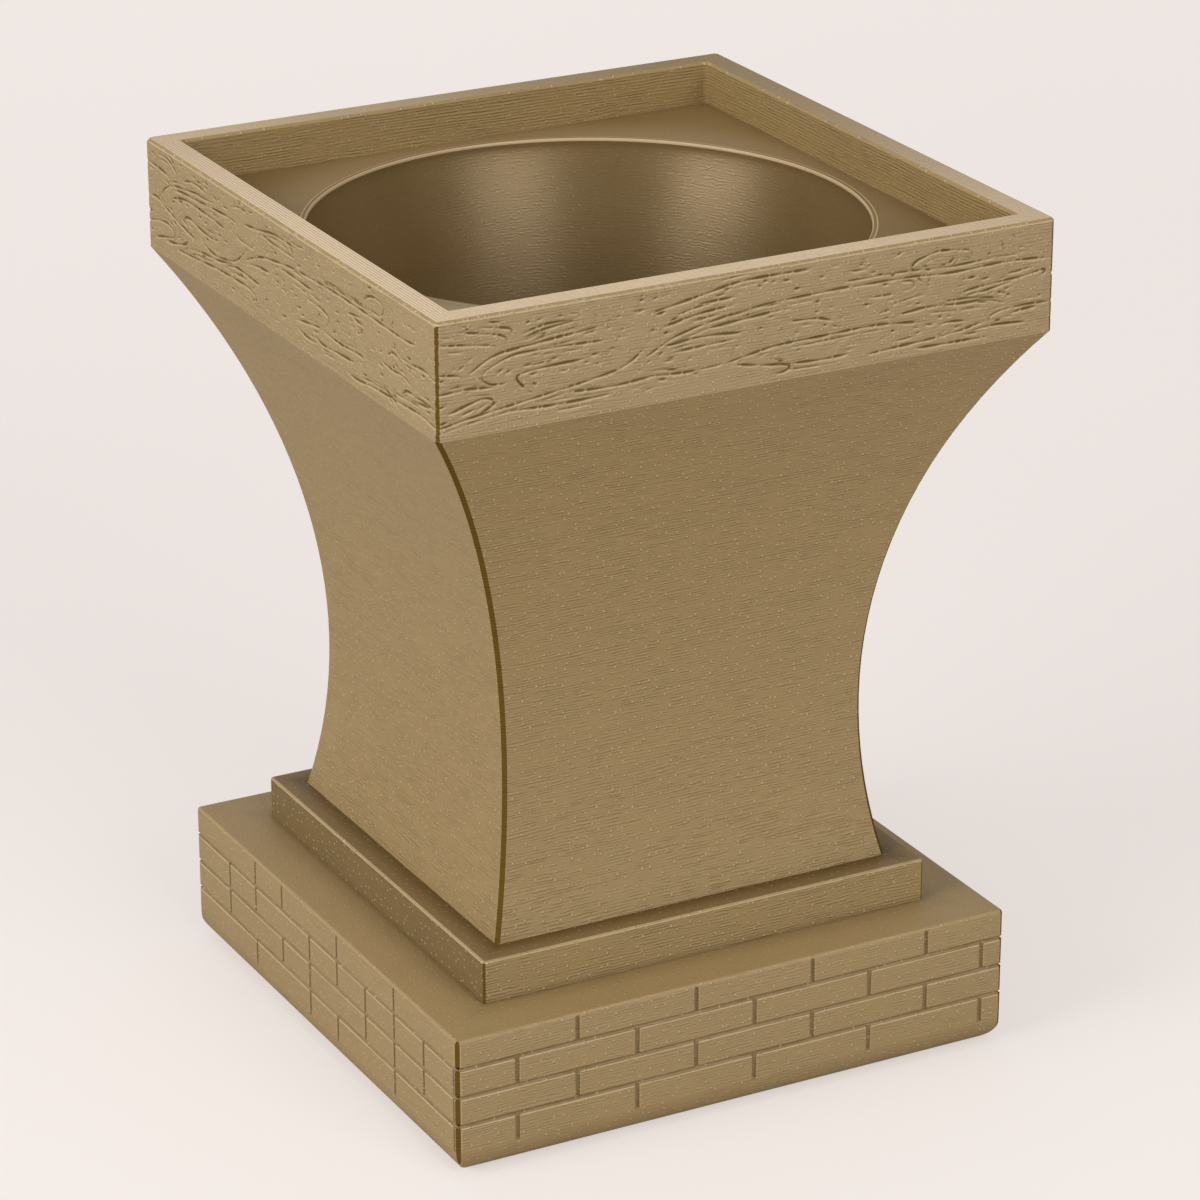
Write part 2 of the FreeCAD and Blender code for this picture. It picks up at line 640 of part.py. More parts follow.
def make_shelf_deck():
    body = new_body("shelf")
    square_pad(body, "shelf_plate", "places.well_half", "places.shelf_bottom",
               "sizes.shelf_thickness")
    fillet(body, "shelf_corners", "sizes.inner_corner_round", upright_at("places.well_half"))
    round_pocket(body, "shelf_hole", "places.shelf_hole_radius", "places.shelf_top",
                 "sizes.shelf_thickness")
    keep(body, "shelf_deck")


def revolve(body, name, corners):
    """Turn an outline of radii and heights about the upright axis."""
    sketch = new_sketch(body, name + "_outline", "XZ_Plane")
    add_outline(sketch, corners)
    feature = body.newObject("PartDesign::Revolution", name)
    feature.Profile = sketch
    feature.ReferenceAxis = (sketch, ["V_Axis"])
    doc.recompute()


def make_planting_pot():
    body = new_body("pot")
    revolve(body, "pot_turned", [
        ("sizes.pot_drain_radius", "places.pot_floor_bottom"),
        ("places.foot_ring_inner", "places.pot_floor_bottom"),
        ("places.foot_ring_inner", "places.floor_top"),
        ("places.pot_waist", "places.floor_top"),
        ("places.pot_waist", "places.pot_knee"),
        ("places.pot_rim", "places.pot_shoulder"),
        ("places.pot_rim", "places.shelf_top"),
        ("places.mouth_radius", "places.shelf_top"),
        ("places.mouth_radius", "places.pot_inner_shoulder"),
        ("places.pot_inner_waist", "places.pot_inner_knee"),
        ("places.pot_inner_waist", "places.pot_floor_top"),
        ("sizes.pot_drain_radius", "places.pot_floor_top"),
    ])
    chamfer(body, "floor_edge", "sizes.pot_floor_chamfer",
            circle_at("places.pot_inner_waist", "places.pot_floor_top"))
    chamfer(body, "mouth_edge", "sizes.mouth_chamfer",
            circle_at("places.mouth_radius", "places.shelf_top"))
    keep(body, "planting_pot")


def make_drain_sleeve():
    body = new_body("sleeve")
    revolve(body, "sleeve_turned", [
        ("sizes.sleeve_bore_radius", "sizes.sleeve_end_inset"),
        ("places.sleeve_radius", "sizes.sleeve_end_inset"),
        ("places.sleeve_radius", "places.floor_top - sizes.sleeve_flange_thickness"),
        ("places.sleeve_flange_radius", "places.floor_top - sizes.sleeve_flange_thickness"),
        ("places.sleeve_flange_radius", "places.floor_top"),
        ("sizes.sleeve_bore_radius", "places.floor_top"),
    ])
    keep(body, "drain_sleeve")


def make_base_screws():
    """Screws with their heads down, sunk in the underside."""
    screws = []
    for side_x, side_y in CORNERS:
        x, y = f"{side_x} * places.base_screw_x", f"{side_y} * places.base_screw_x"
        head_bottom = "sizes.base_screw_seat - sizes.base_screw_head_height"
        head = upright_prism("base_head", TURNED_SIDES, "sizes.base_screw_head_radius",
                             "sizes.base_screw_head_height", (x, y, head_bottom))
        shank = upright_prism("base_shank", TURNED_SIDES, "sizes.base_screw_radius",
                              "places.base_screw_tip - sizes.base_screw_seat",
                              (x, y, "sizes.base_screw_seat"))
        socket = upright_prism("base_socket_cut", SOCKET_SIDES,
                               "sizes.base_socket_width / sqrt(3)",
                               "sizes.base_screw_head_height / 2", (x, y, head_bottom))
        screw = joined("Fuse", "base_screw_blank", head, shank)
        screws.append(joined("Cut", "base_screw", screw, socket))
    group("base_screws", screws)


def make_collar_screws():
    """Screws with their heads up, sunk in the ledge under the shelf."""
    screws = []
    for side_x, side_y in COLLAR_SCREW_CORNERS:
        x, y = f"{side_x} * places.collar_screw_x", f"{side_y} * places.collar_screw_x"
        head = upright_prism("collar_head", TURNED_SIDES, "sizes.collar_screw_head_radius",
                             "sizes.collar_screw_head_height", (x, y, "places.collar_seat"))
        shank = upright_prism("collar_shank", TURNED_SIDES, "sizes.collar_screw_radius",
                              "places.collar_seat - places.collar_screw_tip",
                              (x, y, "places.collar_screw_tip"))
        socket = upright_prism("collar_socket_cut", SOCKET_SIDES,
                               "sizes.collar_socket_width / sqrt(3)",
                               "sizes.collar_screw_head_height / 2",
                               (x, y, "places.collar_seat + sizes.collar_screw_head_height / 2"))
        screw = joined("Fuse", "collar_screw_blank", head, shank)
        screws.append(joined("Cut", "collar_screw", screw, socket))
    group("collar_screws", screws)


def make_inserts(name, corners, radius, bore, length, spacing_half, bottom):
    """Threaded inserts, one round each screw."""
    inserts = []
    for side_x, side_y in corners:
        place = (f"{side_x} * {spacing_half}", f"{side_y} * {spacing_half}", bottom)
        sleeve = upright_prism("insert_blank", TURNED_SIDES, radius, length, place)
        hole = upright_prism("insert_bore", TURNED_SIDES, bore, length, place)
        inserts.append(joined("Cut", "insert", sleeve, hole))
    group(name, inserts)


def make_all_inserts():
    make_inserts("base_inserts", CORNERS, "sizes.base_insert_radius",
                 "sizes.base_screw_radius + sizes.thread_gap", "places.base_insert_length",
                 "places.base_screw_x", "places.plinth_top")
    make_inserts("collar_inserts", COLLAR_SCREW_CORNERS, "sizes.collar_insert_radius",
                 "sizes.collar_screw_radius + sizes.thread_gap", "sizes.collar_insert_length",
                 "places.collar_screw_x", "places.collar_insert_bottom")


def check_objects():
    """Stop if anything failed to build, or if a sub-part is empty or not valid."""
    doc.recompute()
    for item in doc.Objects:
        if "Invalid" in item.State or "Error" in item.State:
            raise RuntimeError(f"{item.Name} failed: {item.State}")
    for piece in subparts:
        if piece.Shape.isNull() or not piece.Shape.isValid() or not piece.Shape.Solids:
            raise RuntimeError(f"{piece.Label} is not a valid solid")


def write_subparts():
    os.makedirs("parts", exist_ok=True)
    for piece in subparts:
        piece.Shape.exportStep(os.path.join("parts", piece.Label + ".step"))
        box = piece.Shape.BoundBox
        print(f"{piece.Label}: {len(piece.Shape.Solids)} solid(s), {len(piece.Shape.Faces)} faces,"
              f" {piece.Shape.Volume:.1f} mm3, z {box.ZMin:.2f} to {box.ZMax:.2f}")


make_brick_base()
make_step_plinth()
make_column_shell()
make_collar_frame()
make_shelf_deck()
make_planting_pot()
make_drain_sleeve()
make_base_screws()
make_collar_screws()
make_all_inserts()
check_objects()
write_subparts()
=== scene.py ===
import math
import random

import bmesh
import bpy
import numpy as np
from mathutils import Euler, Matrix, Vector


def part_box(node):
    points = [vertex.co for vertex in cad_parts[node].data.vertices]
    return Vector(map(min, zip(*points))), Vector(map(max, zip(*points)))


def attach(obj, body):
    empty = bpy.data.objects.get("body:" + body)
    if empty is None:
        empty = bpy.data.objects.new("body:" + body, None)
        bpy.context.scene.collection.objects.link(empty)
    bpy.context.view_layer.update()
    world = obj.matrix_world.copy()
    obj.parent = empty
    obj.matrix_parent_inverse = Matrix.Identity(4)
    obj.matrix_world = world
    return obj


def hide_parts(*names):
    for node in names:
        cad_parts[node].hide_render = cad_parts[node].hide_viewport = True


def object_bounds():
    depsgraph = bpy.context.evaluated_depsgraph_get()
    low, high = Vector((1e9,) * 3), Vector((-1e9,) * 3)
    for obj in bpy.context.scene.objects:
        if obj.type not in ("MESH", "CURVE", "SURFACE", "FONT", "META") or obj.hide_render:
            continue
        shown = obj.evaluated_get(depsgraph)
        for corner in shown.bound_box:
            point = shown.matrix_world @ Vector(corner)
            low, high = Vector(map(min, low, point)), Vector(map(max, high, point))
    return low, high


# Looks of a printed tulsi planter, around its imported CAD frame. The frame is in metres.
# The front is the -Y face, and the left side is the -X face.

MM = 0.001

# The print's texture: sizes in millimetres, and shares of its brightness
LAYER_PITCH = 0.58
RIM_LINE_PITCH = 0.62
WALL_PITCH = 0.62
LINE_WARP = 1.6
WALL_WARP = 1.2
CURL_SCALE = 0.8
STROKE_EDGE = (0.4, 0.6)
FADED_LINES = (0.1, 0.6)
DOT_RADIUS = 0.34
DOT_CORE = 0.3
DOT_HEIGHT = 0.15
DOT_SHARE = 0.6
DOT_SCATTER = 0.85
LEVEL_DOTS = 0.4
PATCH_TONE = 0.16
GRIT_TONE = 0.2
GRIT_HEIGHT = 0.06
ROUGHNESS_SPREAD = 0.12

# How a place stretches along X, Y and Z before a noise, so that the noise runs level
WARP_STRETCH = (0.05, 0.05, 0.3)
STROKE_STRETCH = (0.3, 0.3, 1.2)
FADED_STRETCH = (0.06, 0.06, 0.2)
PATCH_STRETCH = (0.08, 0.08, 0.22)
WALL_STRETCH = (0.08, 0.08, 0.3)
METAL_STRETCH = (0.4, 0.4, 6.0)

# A noise's lumps to a millimetre, its octaves, and how strong the small ones are
PATCH_NOISE = (1.0, 5.0, 0.65)
GRIT_NOISE = (2.2, 3.0, 0.7)

# Which way a face looks: ranges of the parts of its outward direction
LEVEL_FACE = (0.85, 0.95)
SIDE_FACE = (0.68, 0.72)
LEFT_FACE = (0.8, 0.9)
CORNER_FACE = (0.18, 0.24)
CHAMFER_UPWARD = 0.707
CHAMFER_SPREAD = (0.08, 0.14)

# Soft ends of the shaders' bands, in millimetres
SOFT = 0.1
THIN_SOFT = 0.05

# The base's bricks, in millimetres, and the shares of their dark joints, painted shades and painted
# highlights
BASE_HALF = 56.4
BASE_TOP = 27.3
BASE_ROUND = 5.4
BASE_CHAMFER = 0.8
JOINT_EASE = 0.22
JOINT_HIGHLIGHT_LINE = (0.01, 0.08)
JOINT_HIGHLIGHT_SOFT = 0.02
JOINT_DARK = (0.1, 0.22)
JOINT_SHARE = 0.42
EDGE_HIGHLIGHT_SHARE = 0.6
UPPER_EDGE_HIGHLIGHT = 0.5
BASE_HIGHLIGHT_LINE_SHARE = 0.8
BASE_SHADE_START = 5.0
BASE_SHADE = 0.25
CONTACT_WIDTH = 1.2
CONTACT_SHADE = 0.35

# The thin painted highlight lines along the chamfers of the base and the step
EDGE_HIGHLIGHT_OUT = 0.1
EDGE_HIGHLIGHT_IN = 0.12

# The step above the base, and its painted shade and highlights
STEP_HALF = 45.4
STEP_CHAMFER = 0.6
FOOT_HALF = 40.2
STEP_SHADE_START = 0.5
STEP_SHADE = 0.95
STEP_LOW_HEIGHT = 1.6
STEP_LOW_SHADE = 0.3
STEP_CHAMFER_HIGHLIGHT = 0.35

# The collar, in millimetres
COLLAR_HALF = 60.0
COLLAR_TOP = 161.0
RIM_WIDTH = 5.2
COLLAR_CHAMFER = 0.7
RIM_CHAMFER = 0.5

# The fine mesh of its carved faces, in millimetres
GRAIN_COLUMN = 0.21
GRAIN_ROW = 0.135
CORNER_COLUMNS = 6
PLAIN_BAND = 0.9
EDGE_FADE = 0.3

# A groove of the grain: its section and its changes along the line, in millimetres and shares
GRAIN_WIDTH = 0.2
GRAIN_REACH = 0.9
GRAIN_DEPTH = 0.42
GRAIN_SHOULDER = 0.45
SHOULDER_SHARE = 0.35
GRAIN_STEP = 0.08
GRAIN_TAPER = 2.5
CURVE_STEPS = 40
DEPTH_SWING = 0.25
SWING_PACE = (0.5, 1.1)
SWING_START = (0, 6)
BREAK_SPACING = 4.0
BREAK_WIDTH = 0.24
BREAK_SHARE = 0.9
MAIN_DEPTHS = (0.75, 1)

# Shorter lines beside the main ones
LONG_LINE = 9
ECHO_SPAN = (0.2, 0.5)
ECHO_DISTANCE = (0.7, 1.3)
ECHO_POINTS = 12
ECHO_DEPTHS = (0.4, 0.7)

# Ticks between the lines
PORES = 230
PORE_BAND = (2.4, 19.6)
PORE_REACH = 59
PORE_LENGTH = (0.5, 2.2)
PORE_CLEARANCE = 0.5
PORE_STRETCH = (0.4, 1)
PORE_DEPTHS = (0.6, 1.0)

# The painted shade in the grooves' bottoms, the painted highlights on their lips, and the collar's inner
# walls with their painted shade
GROOVE_SHADE_DEPTHS = (0.05, 0.26)
GROOVE_SHADE_SHARE = 0.85
LIP_TILT = (0.1, 0.4)
LIP_HIGHLIGHT_SHARE = 0.75
WALL_PAINTED_SHADE = (0.88, 0.85, 0.74)
WALL_LINE_TONE = 0.14
WALL_DULL = 0.6

# The collar rim's painted golden sheen lines, painted highlight line and glints, and its dark corners, in
# millimetres down from its top
GOLD_SHEEN_LINE = (0.12, 0.28)
GOLD_SHEEN_SOFT = 0.03
HIGHLIGHT_LINE = (0.4, 0.62)
HIGHLIGHT_SOFT = 0.06
HIGHLIGHT_SHARE = 0.75
GLINT_LINE = (0.05, 0.8)
GLINT_SCALE = 2.2
GLINT_EDGE = (0.6, 0.66)
INNER_SHEEN_SHARE = 0.8
CORNER_RAGGED = 0.3
RAGGED_SCALE = 1.2
CORNER_SOFT = 0.15

# What still counts as none: metres, a share of an edge, a direction's upward part, and a length
CLOSE = 1e-6
EDGE_ENDS = 1e-5
UPRIGHT_FACE = 0.1
TINY = 1e-9

# The pot's outline, in millimetres: the CAD pot's, with its bends eased
POT_SIDES = 256
POT_TOP = 152.9
POT_BOTTOM = 42.0
POT_RIM = 52.05
POT_WALL = 1.35
POT_SHOULDER = 149.2
POT_WAIST = 33.38
POT_KNEE = 84.2
POT_FLOOR = 45.6
POT_FLOOR_THICKNESS = 2.0
POT_FOOT_RING = 28.38
POT_DRAIN = 4.0
MOUTH_EASE = (0.3, 0.4)
MOUTH_STEPS = 8
MOUTH_DEPTH = 0.6
# Painted highlight rings at the mouth
MOUTH_HIGHLIGHT_RINGS = ((-0.1, 0.25), (0.8, 1.05))
RING_SOFT = 0.04
RING_HIGHLIGHT_SHARE = 0.6
MOUTH_DULL = 0.7
FLOOR_CHAMFER = 2.0
RIM_EASE = 0.15
SHOULDER_EASE = (2.6, 30.0)
KNEE_EASE = 20.0
EASE_STEPS = 24

# Angles between faces, in degrees, from which an edge is shaded sharp, kept and eased
SHARP_ANGLE = 35
FLAT_ANGLE = 1
EASED_ANGLE = 30

# Vertices so many millimetres apart are welded
WELD_DISTANCE = 0.001

# The shelf's places of painted light and painted shade, in millimetres from its middle or from the mouth
MOUTH_LIGHT = 12.0
NEAR_CORNER = (POT_RIM * 1.3, POT_RIM * 1.5)
RIGHT_CORNER = (POT_RIM * 0.3, POT_RIM * 1.4)
RIGHT_CORNER_SHADE = 0.35

# Turned metal
METAL_TONE = (0.2, 0.88)
METAL_RING_HEIGHT = 0.05
METAL_WEAR_SCALE = 1.2
METAL_SPREAD = 0.15

# The photograph's camera
CAMERA_PLACE = (-0.38632, -0.73138, 0.41559)
CAMERA_FORWARD = (0.43456, 0.81819, -0.37646)
CAMERA_ROLL = -0.125
CAMERA_LENS = 145.16
CAMERA_SENSOR = 36.0
CAMERA_NEAR = 0.01

# Colours, as red, green and blue light
BRONZE = (0.335, 0.229, 0.098)
COLLAR_BRONZE = (0.355, 0.251, 0.119)
# Painted light: the pale top of the collar's rim, and the pot mouth's highlight rings
RIM_HIGHLIGHT_BRONZE = (0.80, 0.615, 0.395)
# Painted shade: the rim's top darkening towards the back
RIM_FAR_SHADE_BRONZE = (0.31, 0.21, 0.086)
# Painted shade: the shelf and the pot's rim top, darkened as if shaded in the tray
SHELF_SHADE_BRONZE = (0.26, 0.165, 0.06)
# Painted light round the mouth and in the shelf's near corner
SHELF_PAINTED_LIGHT = (0.32, 0.218, 0.101)
SHELF_NEAR_PAINTED_LIGHT = (0.50, 0.37, 0.21)
STEP_BRONZE = (0.325, 0.228, 0.100)
# Painted shade on the step's top
STEP_TOP_SHADE_BRONZE = (0.24, 0.160, 0.066)
# Painted shade on the step's left face
STEP_LEFT_PAINTED_SHADE = (0.62, 0.59, 0.52)
# Painted light on the base's top
BASE_TOP_LIGHT_BRONZE = (0.375, 0.260, 0.116)
# Painted shade: the pot darkened for the shade inside the bowl
POT_SHADE_BRONZE = (0.16, 0.102, 0.038)
POT_SHINE = (1.0, 0.78, 0.5)
POT_IOR = 1.55
# Dark for the joints and corner chamfers, and painted shade in grooves, round feet and in corners
DARK_AND_SHADE_BRONZE = (0.12, 0.070, 0.014)
EDGE_GOLD_SHEEN = (0.34, 0.225, 0.08)
# Painted highlights on the upper chamfers of the base and the step
EDGE_HIGHLIGHT = (0.52, 0.39, 0.22)
# The print's specks, and painted highlight on the grooves' lips, the rim's outer line and the base's edge
# lines
SPECK_AND_HIGHLIGHT_BRONZE = (0.60, 0.46, 0.26)
STEEL = (0.55, 0.55, 0.56)
BRASS = (0.72, 0.52, 0.22)
PALE = (1.0, 0.935, 0.90)
FLOOR_BOUNCE = (0.6, 0.57, 0.545)
STUDIO_WHITE = (1.0, 0.985, 0.97)

# The studio's light
AMBIENT = 0.3
REFLECTED = 0.45
FLOOR_TONE = 0.43
FLOOR_LIFT = 0.54
# Painted light: the floor brighter far off
FAR_PAINTED_LIGHT = 0.13
FAR_WAY = (0.43456, 0.81819, 0.0)
FAR_REACH = (0.1, 1.2)
FLOOR_SIZE = 12.0
# Painted shadow: soft blotches on the floor
FLOOR_SHADOW_BLOTCHES = 1.6
FLOOR_TONES = (0.2 * FLOOR_TONE, 0.88 * FLOOR_TONE)
MIDDLE = Vector((0.0, 0.0, 0.08))
LAMP_SIZE = 0.8
LAMP_DISTANCE = 1.35
LAMPS = [
    ("left", 186, 20, 12.3),
    ("front", 276, 22, 8.6),
    ("behind", 90, 40, 1.2),
    ("above", 0, 90, 2.0),
]

# Grain lines of a face, as places (across, up) in millimetres from the middle of its lower
# edge. Each line is a smooth curve through its places.
FRONT_GRAIN = [
    [(-52, 18.8), (-46.5, 17.8), (-46.2, 16.6)],
    [(-56, 18.6), (-48, 16.8), (-46.7, 15)],
    [(-60, 16.9), (-50, 15.4), (-49, 14.5)],
    [(-45, 16.2), (-39.6, 17.4), (-34.5, 17.2), (-40.4, 16.5), (-44.4, 15.4)],
    [(-29.5, 15.4), (-43.8, 14.2), (-49.4, 13.4), (-54, 11)],
    [(-28, 12.8), (-42, 13.2), (-47, 12.7), (-51.5, 10.5), (-50, 8.6), (-46.5, 8.3)],
    [(-32, 10.2), (-41, 9.9), (-44.9, 9.3), (-44.3, 7.6), (-41.9, 5.5)],
    [(-60, 11.7), (-55.6, 10.9), (-55.4, 9.6)],
    [(-60, 8.2), (-54, 8.4), (-48.8, 7.9)],
    [(-58, 4.6), (-51.5, 6.3), (-49.4, 5.2), (-52.8, 3.3)],
    [(-60, 2.2), (-54, 3.3), (-44, 4.6), (-31.5, 6.3), (-24.9, 7.7), (-20.9, 10.4)],
    [(-47, 3.4), (-37, 3), (-27.5, 3.2)],
    [(-36, 4.8), (-27, 4.5), (-19, 5)],
    [(-21, 8.5), (-14, 11.6), (-0.5, 13.9), (14, 14.6), (20.5, 14.6), (30.6, 14.5), (39, 14), (50, 14.3),
     (60, 13.7)],
    [(-20, 16.1), (-10, 17.8), (-2.2, 19), (11, 19.1)],
    [(-12.2, 16.2), (-3.5, 16.5)],
    [(-18, 13.2), (-11, 14.5), (-3, 15.2)],
    [(-10.5, 11.6), (3.3, 12.6), (7.1, 12.7)],
    [(-17.7, 9.8), (-10, 10.4), (-2, 9.9)],
    [(-15.6, 8.5), (-3.7, 9)],
    [(6.4, 10.4), (12.4, 10), (15.7, 9)],
    [(-5.5, 4.9), (4, 6.4), (14.4, 6.7), (24, 6.9), (33.6, 6)],
    [(-5.5, 4.7), (3, 3.2), (11.8, 2.5), (18.9, 2.6)],
    [(-21, 5.1), (-13, 4.6), (-6, 4.9)],
    [(1.4, 3.4), (6.6, 2.6), (6, 1.6), (3, 1.3)],
    [(33, 15.2), (31, 15.9), (31.6, 17), (33.2, 17.6), (36.2, 18.3), (40, 18)],
    [(38.7, 17.2), (39.3, 16.5), (38.2, 15.8), (36, 15.5)],
    [(39.7, 18), (42.3, 17.6), (43.1, 16.6), (41.8, 15.7)],
    [(18, 17.4), (22.5, 17.3)],
    [(28.4, 14), (30.8, 13.8), (31.5, 13.1), (30.6, 12.3), (29, 12.3)],
    [(21.8, 12.8), (23, 12.1), (28, 12)],
    [(27, 10.1), (31.5, 10.8), (33.7, 11)],
    [(27.7, 8), (34.4, 8.5), (40.5, 8.1), (46, 7.9), (50.4, 6.8)],
    [(37.7, 9), (43, 8.8), (49, 7.9)],
    [(40, 8.9), (41.3, 10), (44, 10.5), (50, 10.9), (53.2, 11.1), (57.6, 11.7), (57.9, 11.1), (56.4, 10.5)],
    [(44.3, 9.5), (47.4, 9.9), (52, 10.6)],
    [(46.6, 3.8), (47.2, 4.9), (49.2, 5.5), (53.2, 5.8), (60, 5.7)],
    [(50, 4.4), (53.2, 5), (57.7, 5.2)],
    [(38, 2.9), (41.2, 3.2), (44.8, 3.9), (46.5, 4)],
    [(41.5, 2.6), (47.7, 3.1), (55.5, 2.6)],
    [(35.4, 4.3), (37.8, 5.1), (40.6, 5), (43, 4.5)],
    [(35.9, 4.1), (37.4, 2.8), (39, 3.4), (39.4, 4.2)],
    [(22.4, 1.9), (29, 2.3), (37, 2.7)],
    [(31.3, 1.4), (36.6, 1.3), (46.6, 1.2)],
]
LEFT_GRAIN = [
    [(-55, 19.2), (-50.3, 19.2), (-47.3, 18.2), (-45.9, 17), (-45.7, 15.4)],
    [(-60, 16.6), (-55, 16.5), (-50.6, 16.1), (-48.8, 15.4), (-47.8, 14.6)],
    [(-43.3, 16.9), (-39.7, 17.7), (-35.7, 17.8), (-32.8, 17.1)],
    [(-53.6, 11.5), (-51.5, 13.4), (-47.6, 14.8), (-42.4, 15.5), (-37.3, 16.2), (-32.8, 16.7)],
    [(-48.2, 13.8), (-44.5, 14.5), (-34.4, 15.1), (-23.6, 15.7), (-19.3, 15.4)],
    [(-49.4, 12), (-45.2, 13.1), (-40.6, 13.6), (-30.6, 13.4), (-24.7, 13)],
    [(-60, 10), (-55.7, 10.6), (-51.7, 9.6), (-46.6, 8.5), (-42.6, 7.8)],
    [(-43.7, 9), (-42.6, 10.2), (-40.3, 10.5), (-36.3, 9.9), (-31.4, 9.6), (-27.9, 9.9)],
    [(-46, 8.7), (-43, 7.9), (-39, 7.2), (-38.6, 5.8)],
    [(-60, 5), (-56.2, 6.1), (-51.4, 6.7), (-48.2, 6), (-48.6, 4.7), (-52.2, 3.9), (-57.6, 2.5)],
    [(-51.7, 3.3), (-47, 4), (-43, 5.1), (-42, 6.4)],
    [(-35.5, 8), (-32, 7), (-28, 6.9), (-21.7, 8), (-18.2, 9.8), (-15.2, 12.2)],
    [(-40.8, 4.8), (-35.2, 5.6), (-28.2, 6.2), (-21.7, 7.4)],
    [(-19.9, 13.5), (-18, 12.9), (-12.3, 12.9)],
    [(-46.5, 3.1), (-42.4, 3.3), (-35.3, 3.9), (-28.3, 4.5), (-16, 4.9), (-11.9, 4.2)],
    [(-22.3, 6.9), (-18.4, 7.2), (-8.9, 6.7)],
    [(-16.3, 9.7), (-13.4, 10.9), (-8.6, 12.4), (-2.5, 13.3), (5.3, 14.1), (18.8, 14.6), (33.7, 14.6),
     (47.5, 14.4), (52.5, 14.8)],
    [(-14.9, 9.4), (-10.6, 10.1), (-5, 10.4)],
    [(-3.5, 12.2), (0.6, 12.6), (9, 12.4), (13.1, 12.3)],
    [(-21.5, 18.2), (-18.6, 18.8), (-15.2, 18.8)],
    [(-16.4, 16.3), (-10.7, 16.9), (-3.6, 18), (5.4, 18)],
    [(-9.7, 16.6), (-4.7, 16.2), (4.9, 16.1)],
    [(1.9, 19), (5.5, 18.7), (8.9, 19)],
    [(32, 16.2), (33.8, 17.7), (37, 18.4), (39.9, 17.9), (39.9, 16.6), (38.4, 15.5)],
    [(9.5, 10.3), (15.3, 10.1), (18.3, 9.2), (17.4, 7.6), (15.7, 6.9)],
    [(4, 5), (8.2, 5.6), (15.7, 6.6)],
    [(16.2, 6.3), (23, 6), (30.2, 6.4), (32.4, 6)],
    [(12.7, 4.4), (15.6, 3.7), (21.2, 4), (28.5, 4.4)],
    [(5.2, 3.8), (9.8, 3.1), (14.4, 3.3)],
    [(24.5, 2.1), (29, 1.6), (35.5, 2.2), (46.3, 2.7), (53.6, 3), (60, 2.4)],
    [(37.9, 8.2), (43.2, 7.6), (47.4, 7.8), (50.5, 7)],
    [(46.4, 10.8), (50.6, 10.9), (55.7, 11.2), (60, 10.4)],
    [(41, 9.4), (43.2, 10.7), (45.3, 10.4), (46.9, 9.2)],
    [(46.8, 3.7), (47.9, 5.3), (51, 5.7), (60, 5.5)],
    [(48.4, 4.2), (53.6, 4.9), (57.7, 5.3)],
    [(28.2, 13.3), (28.8, 12.3), (33.6, 12)],
    [(25.5, 12.5), (32.6, 13.4)],
    [(38.8, 3.4), (41.5, 3.1), (44, 2.3), (46, 1.2)],
]


# Shader building

def add_node(material, kind, inputs=None, **settings):
    """Add a shader node. Inputs are numbers, colours or the outputs of other nodes."""
    tree = material.node_tree
    node = tree.nodes.new("ShaderNode" + kind)
    for name, value in settings.items():
        setattr(node, name, value)
    for key, value in (inputs or {}).items():
        if isinstance(value, bpy.types.NodeSocket):
            tree.links.new(value, node.inputs[key])
        else:
            node.inputs[key].default_value = value
    return node


def calculate(material, operation, *values):
    """One step of arithmetic between numbers or node outputs."""
    return add_node(material, "Math", dict(enumerate(values)), operation=operation).outputs[0]


def times(material, first, second):
    return calculate(material, "MULTIPLY", first, second)


def times_plus(material, value, factor, base):
    """A base with so many times a value added to it."""
    return calculate(material, "MULTIPLY_ADD", value, factor, base)


def measure(material, operation, *vectors):
    """One step of vector arithmetic that gives a number."""
    node = add_node(material, "VectorMath", dict(enumerate(vectors)), operation=operation)
    return node.outputs["Value"]


def blend_colour(material, share, first, second):
    """Between two colours, by a share from 0 to 1."""
    node = add_node(material, "Mix", {"Factor": share}, data_type="RGBA")
    colours = [socket for socket in node.inputs if socket.type == "RGBA"]
    for socket, colour in zip(colours, (first, second)):
        if isinstance(colour, bpy.types.NodeSocket):
            material.node_tree.links.new(colour, socket)
        else:
            socket.default_value = (*colour, 1)
    return next(socket for socket in node.outputs if socket.type == "RGBA")


def stepped(material, value, low, high):
    """Rises smoothly from 0 to 1 while a value goes from low to high."""
    inputs = {"Value": value, "From Min": low, "From Max": high}
    return add_node(material, "MapRange", inputs, interpolation_type="SMOOTHSTEP").outputs["Result"]


def band(material, value, low, high, soft):
    """1 while a value is between low and high, with soft ends, and 0 elsewhere."""
    start = stepped(material, value, low - soft, low + soft)
    return calculate(material, "SUBTRACT", start, stepped(material, value, high - soft, high + soft))


def opposite(material, share):
    return calculate(material, "SUBTRACT", 1.0, share)


def noise(material, place, scale, detail=2.0, roughness=0.5):
    """Noise between 0 and 1, with so many lumps to a millimetre."""
    inputs = {"Vector": place, "Scale": scale, "Detail": detail, "Roughness": roughness}
    return add_node(material, "TexNoise", inputs).outputs["Fac"]


def facing(material):
    """The outward direction of the flat face, without the smooth shading."""
    return add_node(material, "NewGeometry").outputs["True Normal"]


def axes_of(material, vector):
    """The X, Y and Z parts of a place or direction."""
    return add_node(material, "SeparateXYZ", {0: vector}).outputs


def place_in_mm(material):
    """The place on the object, in millimetres."""
    object_place = add_node(material, "TexCoord").outputs["Object"]
    return add_node(material, "VectorMath", {0: object_place, "Scale": 1 / MM},
                    operation="SCALE").outputs["Vector"]


def stretched(material, place, factors):
    """A place with its three axes scaled, so that noise stretches along the small ones."""
    return add_node(material, "VectorMath", {0: place, 1: factors},
                    operation="MULTIPLY").outputs["Vector"]


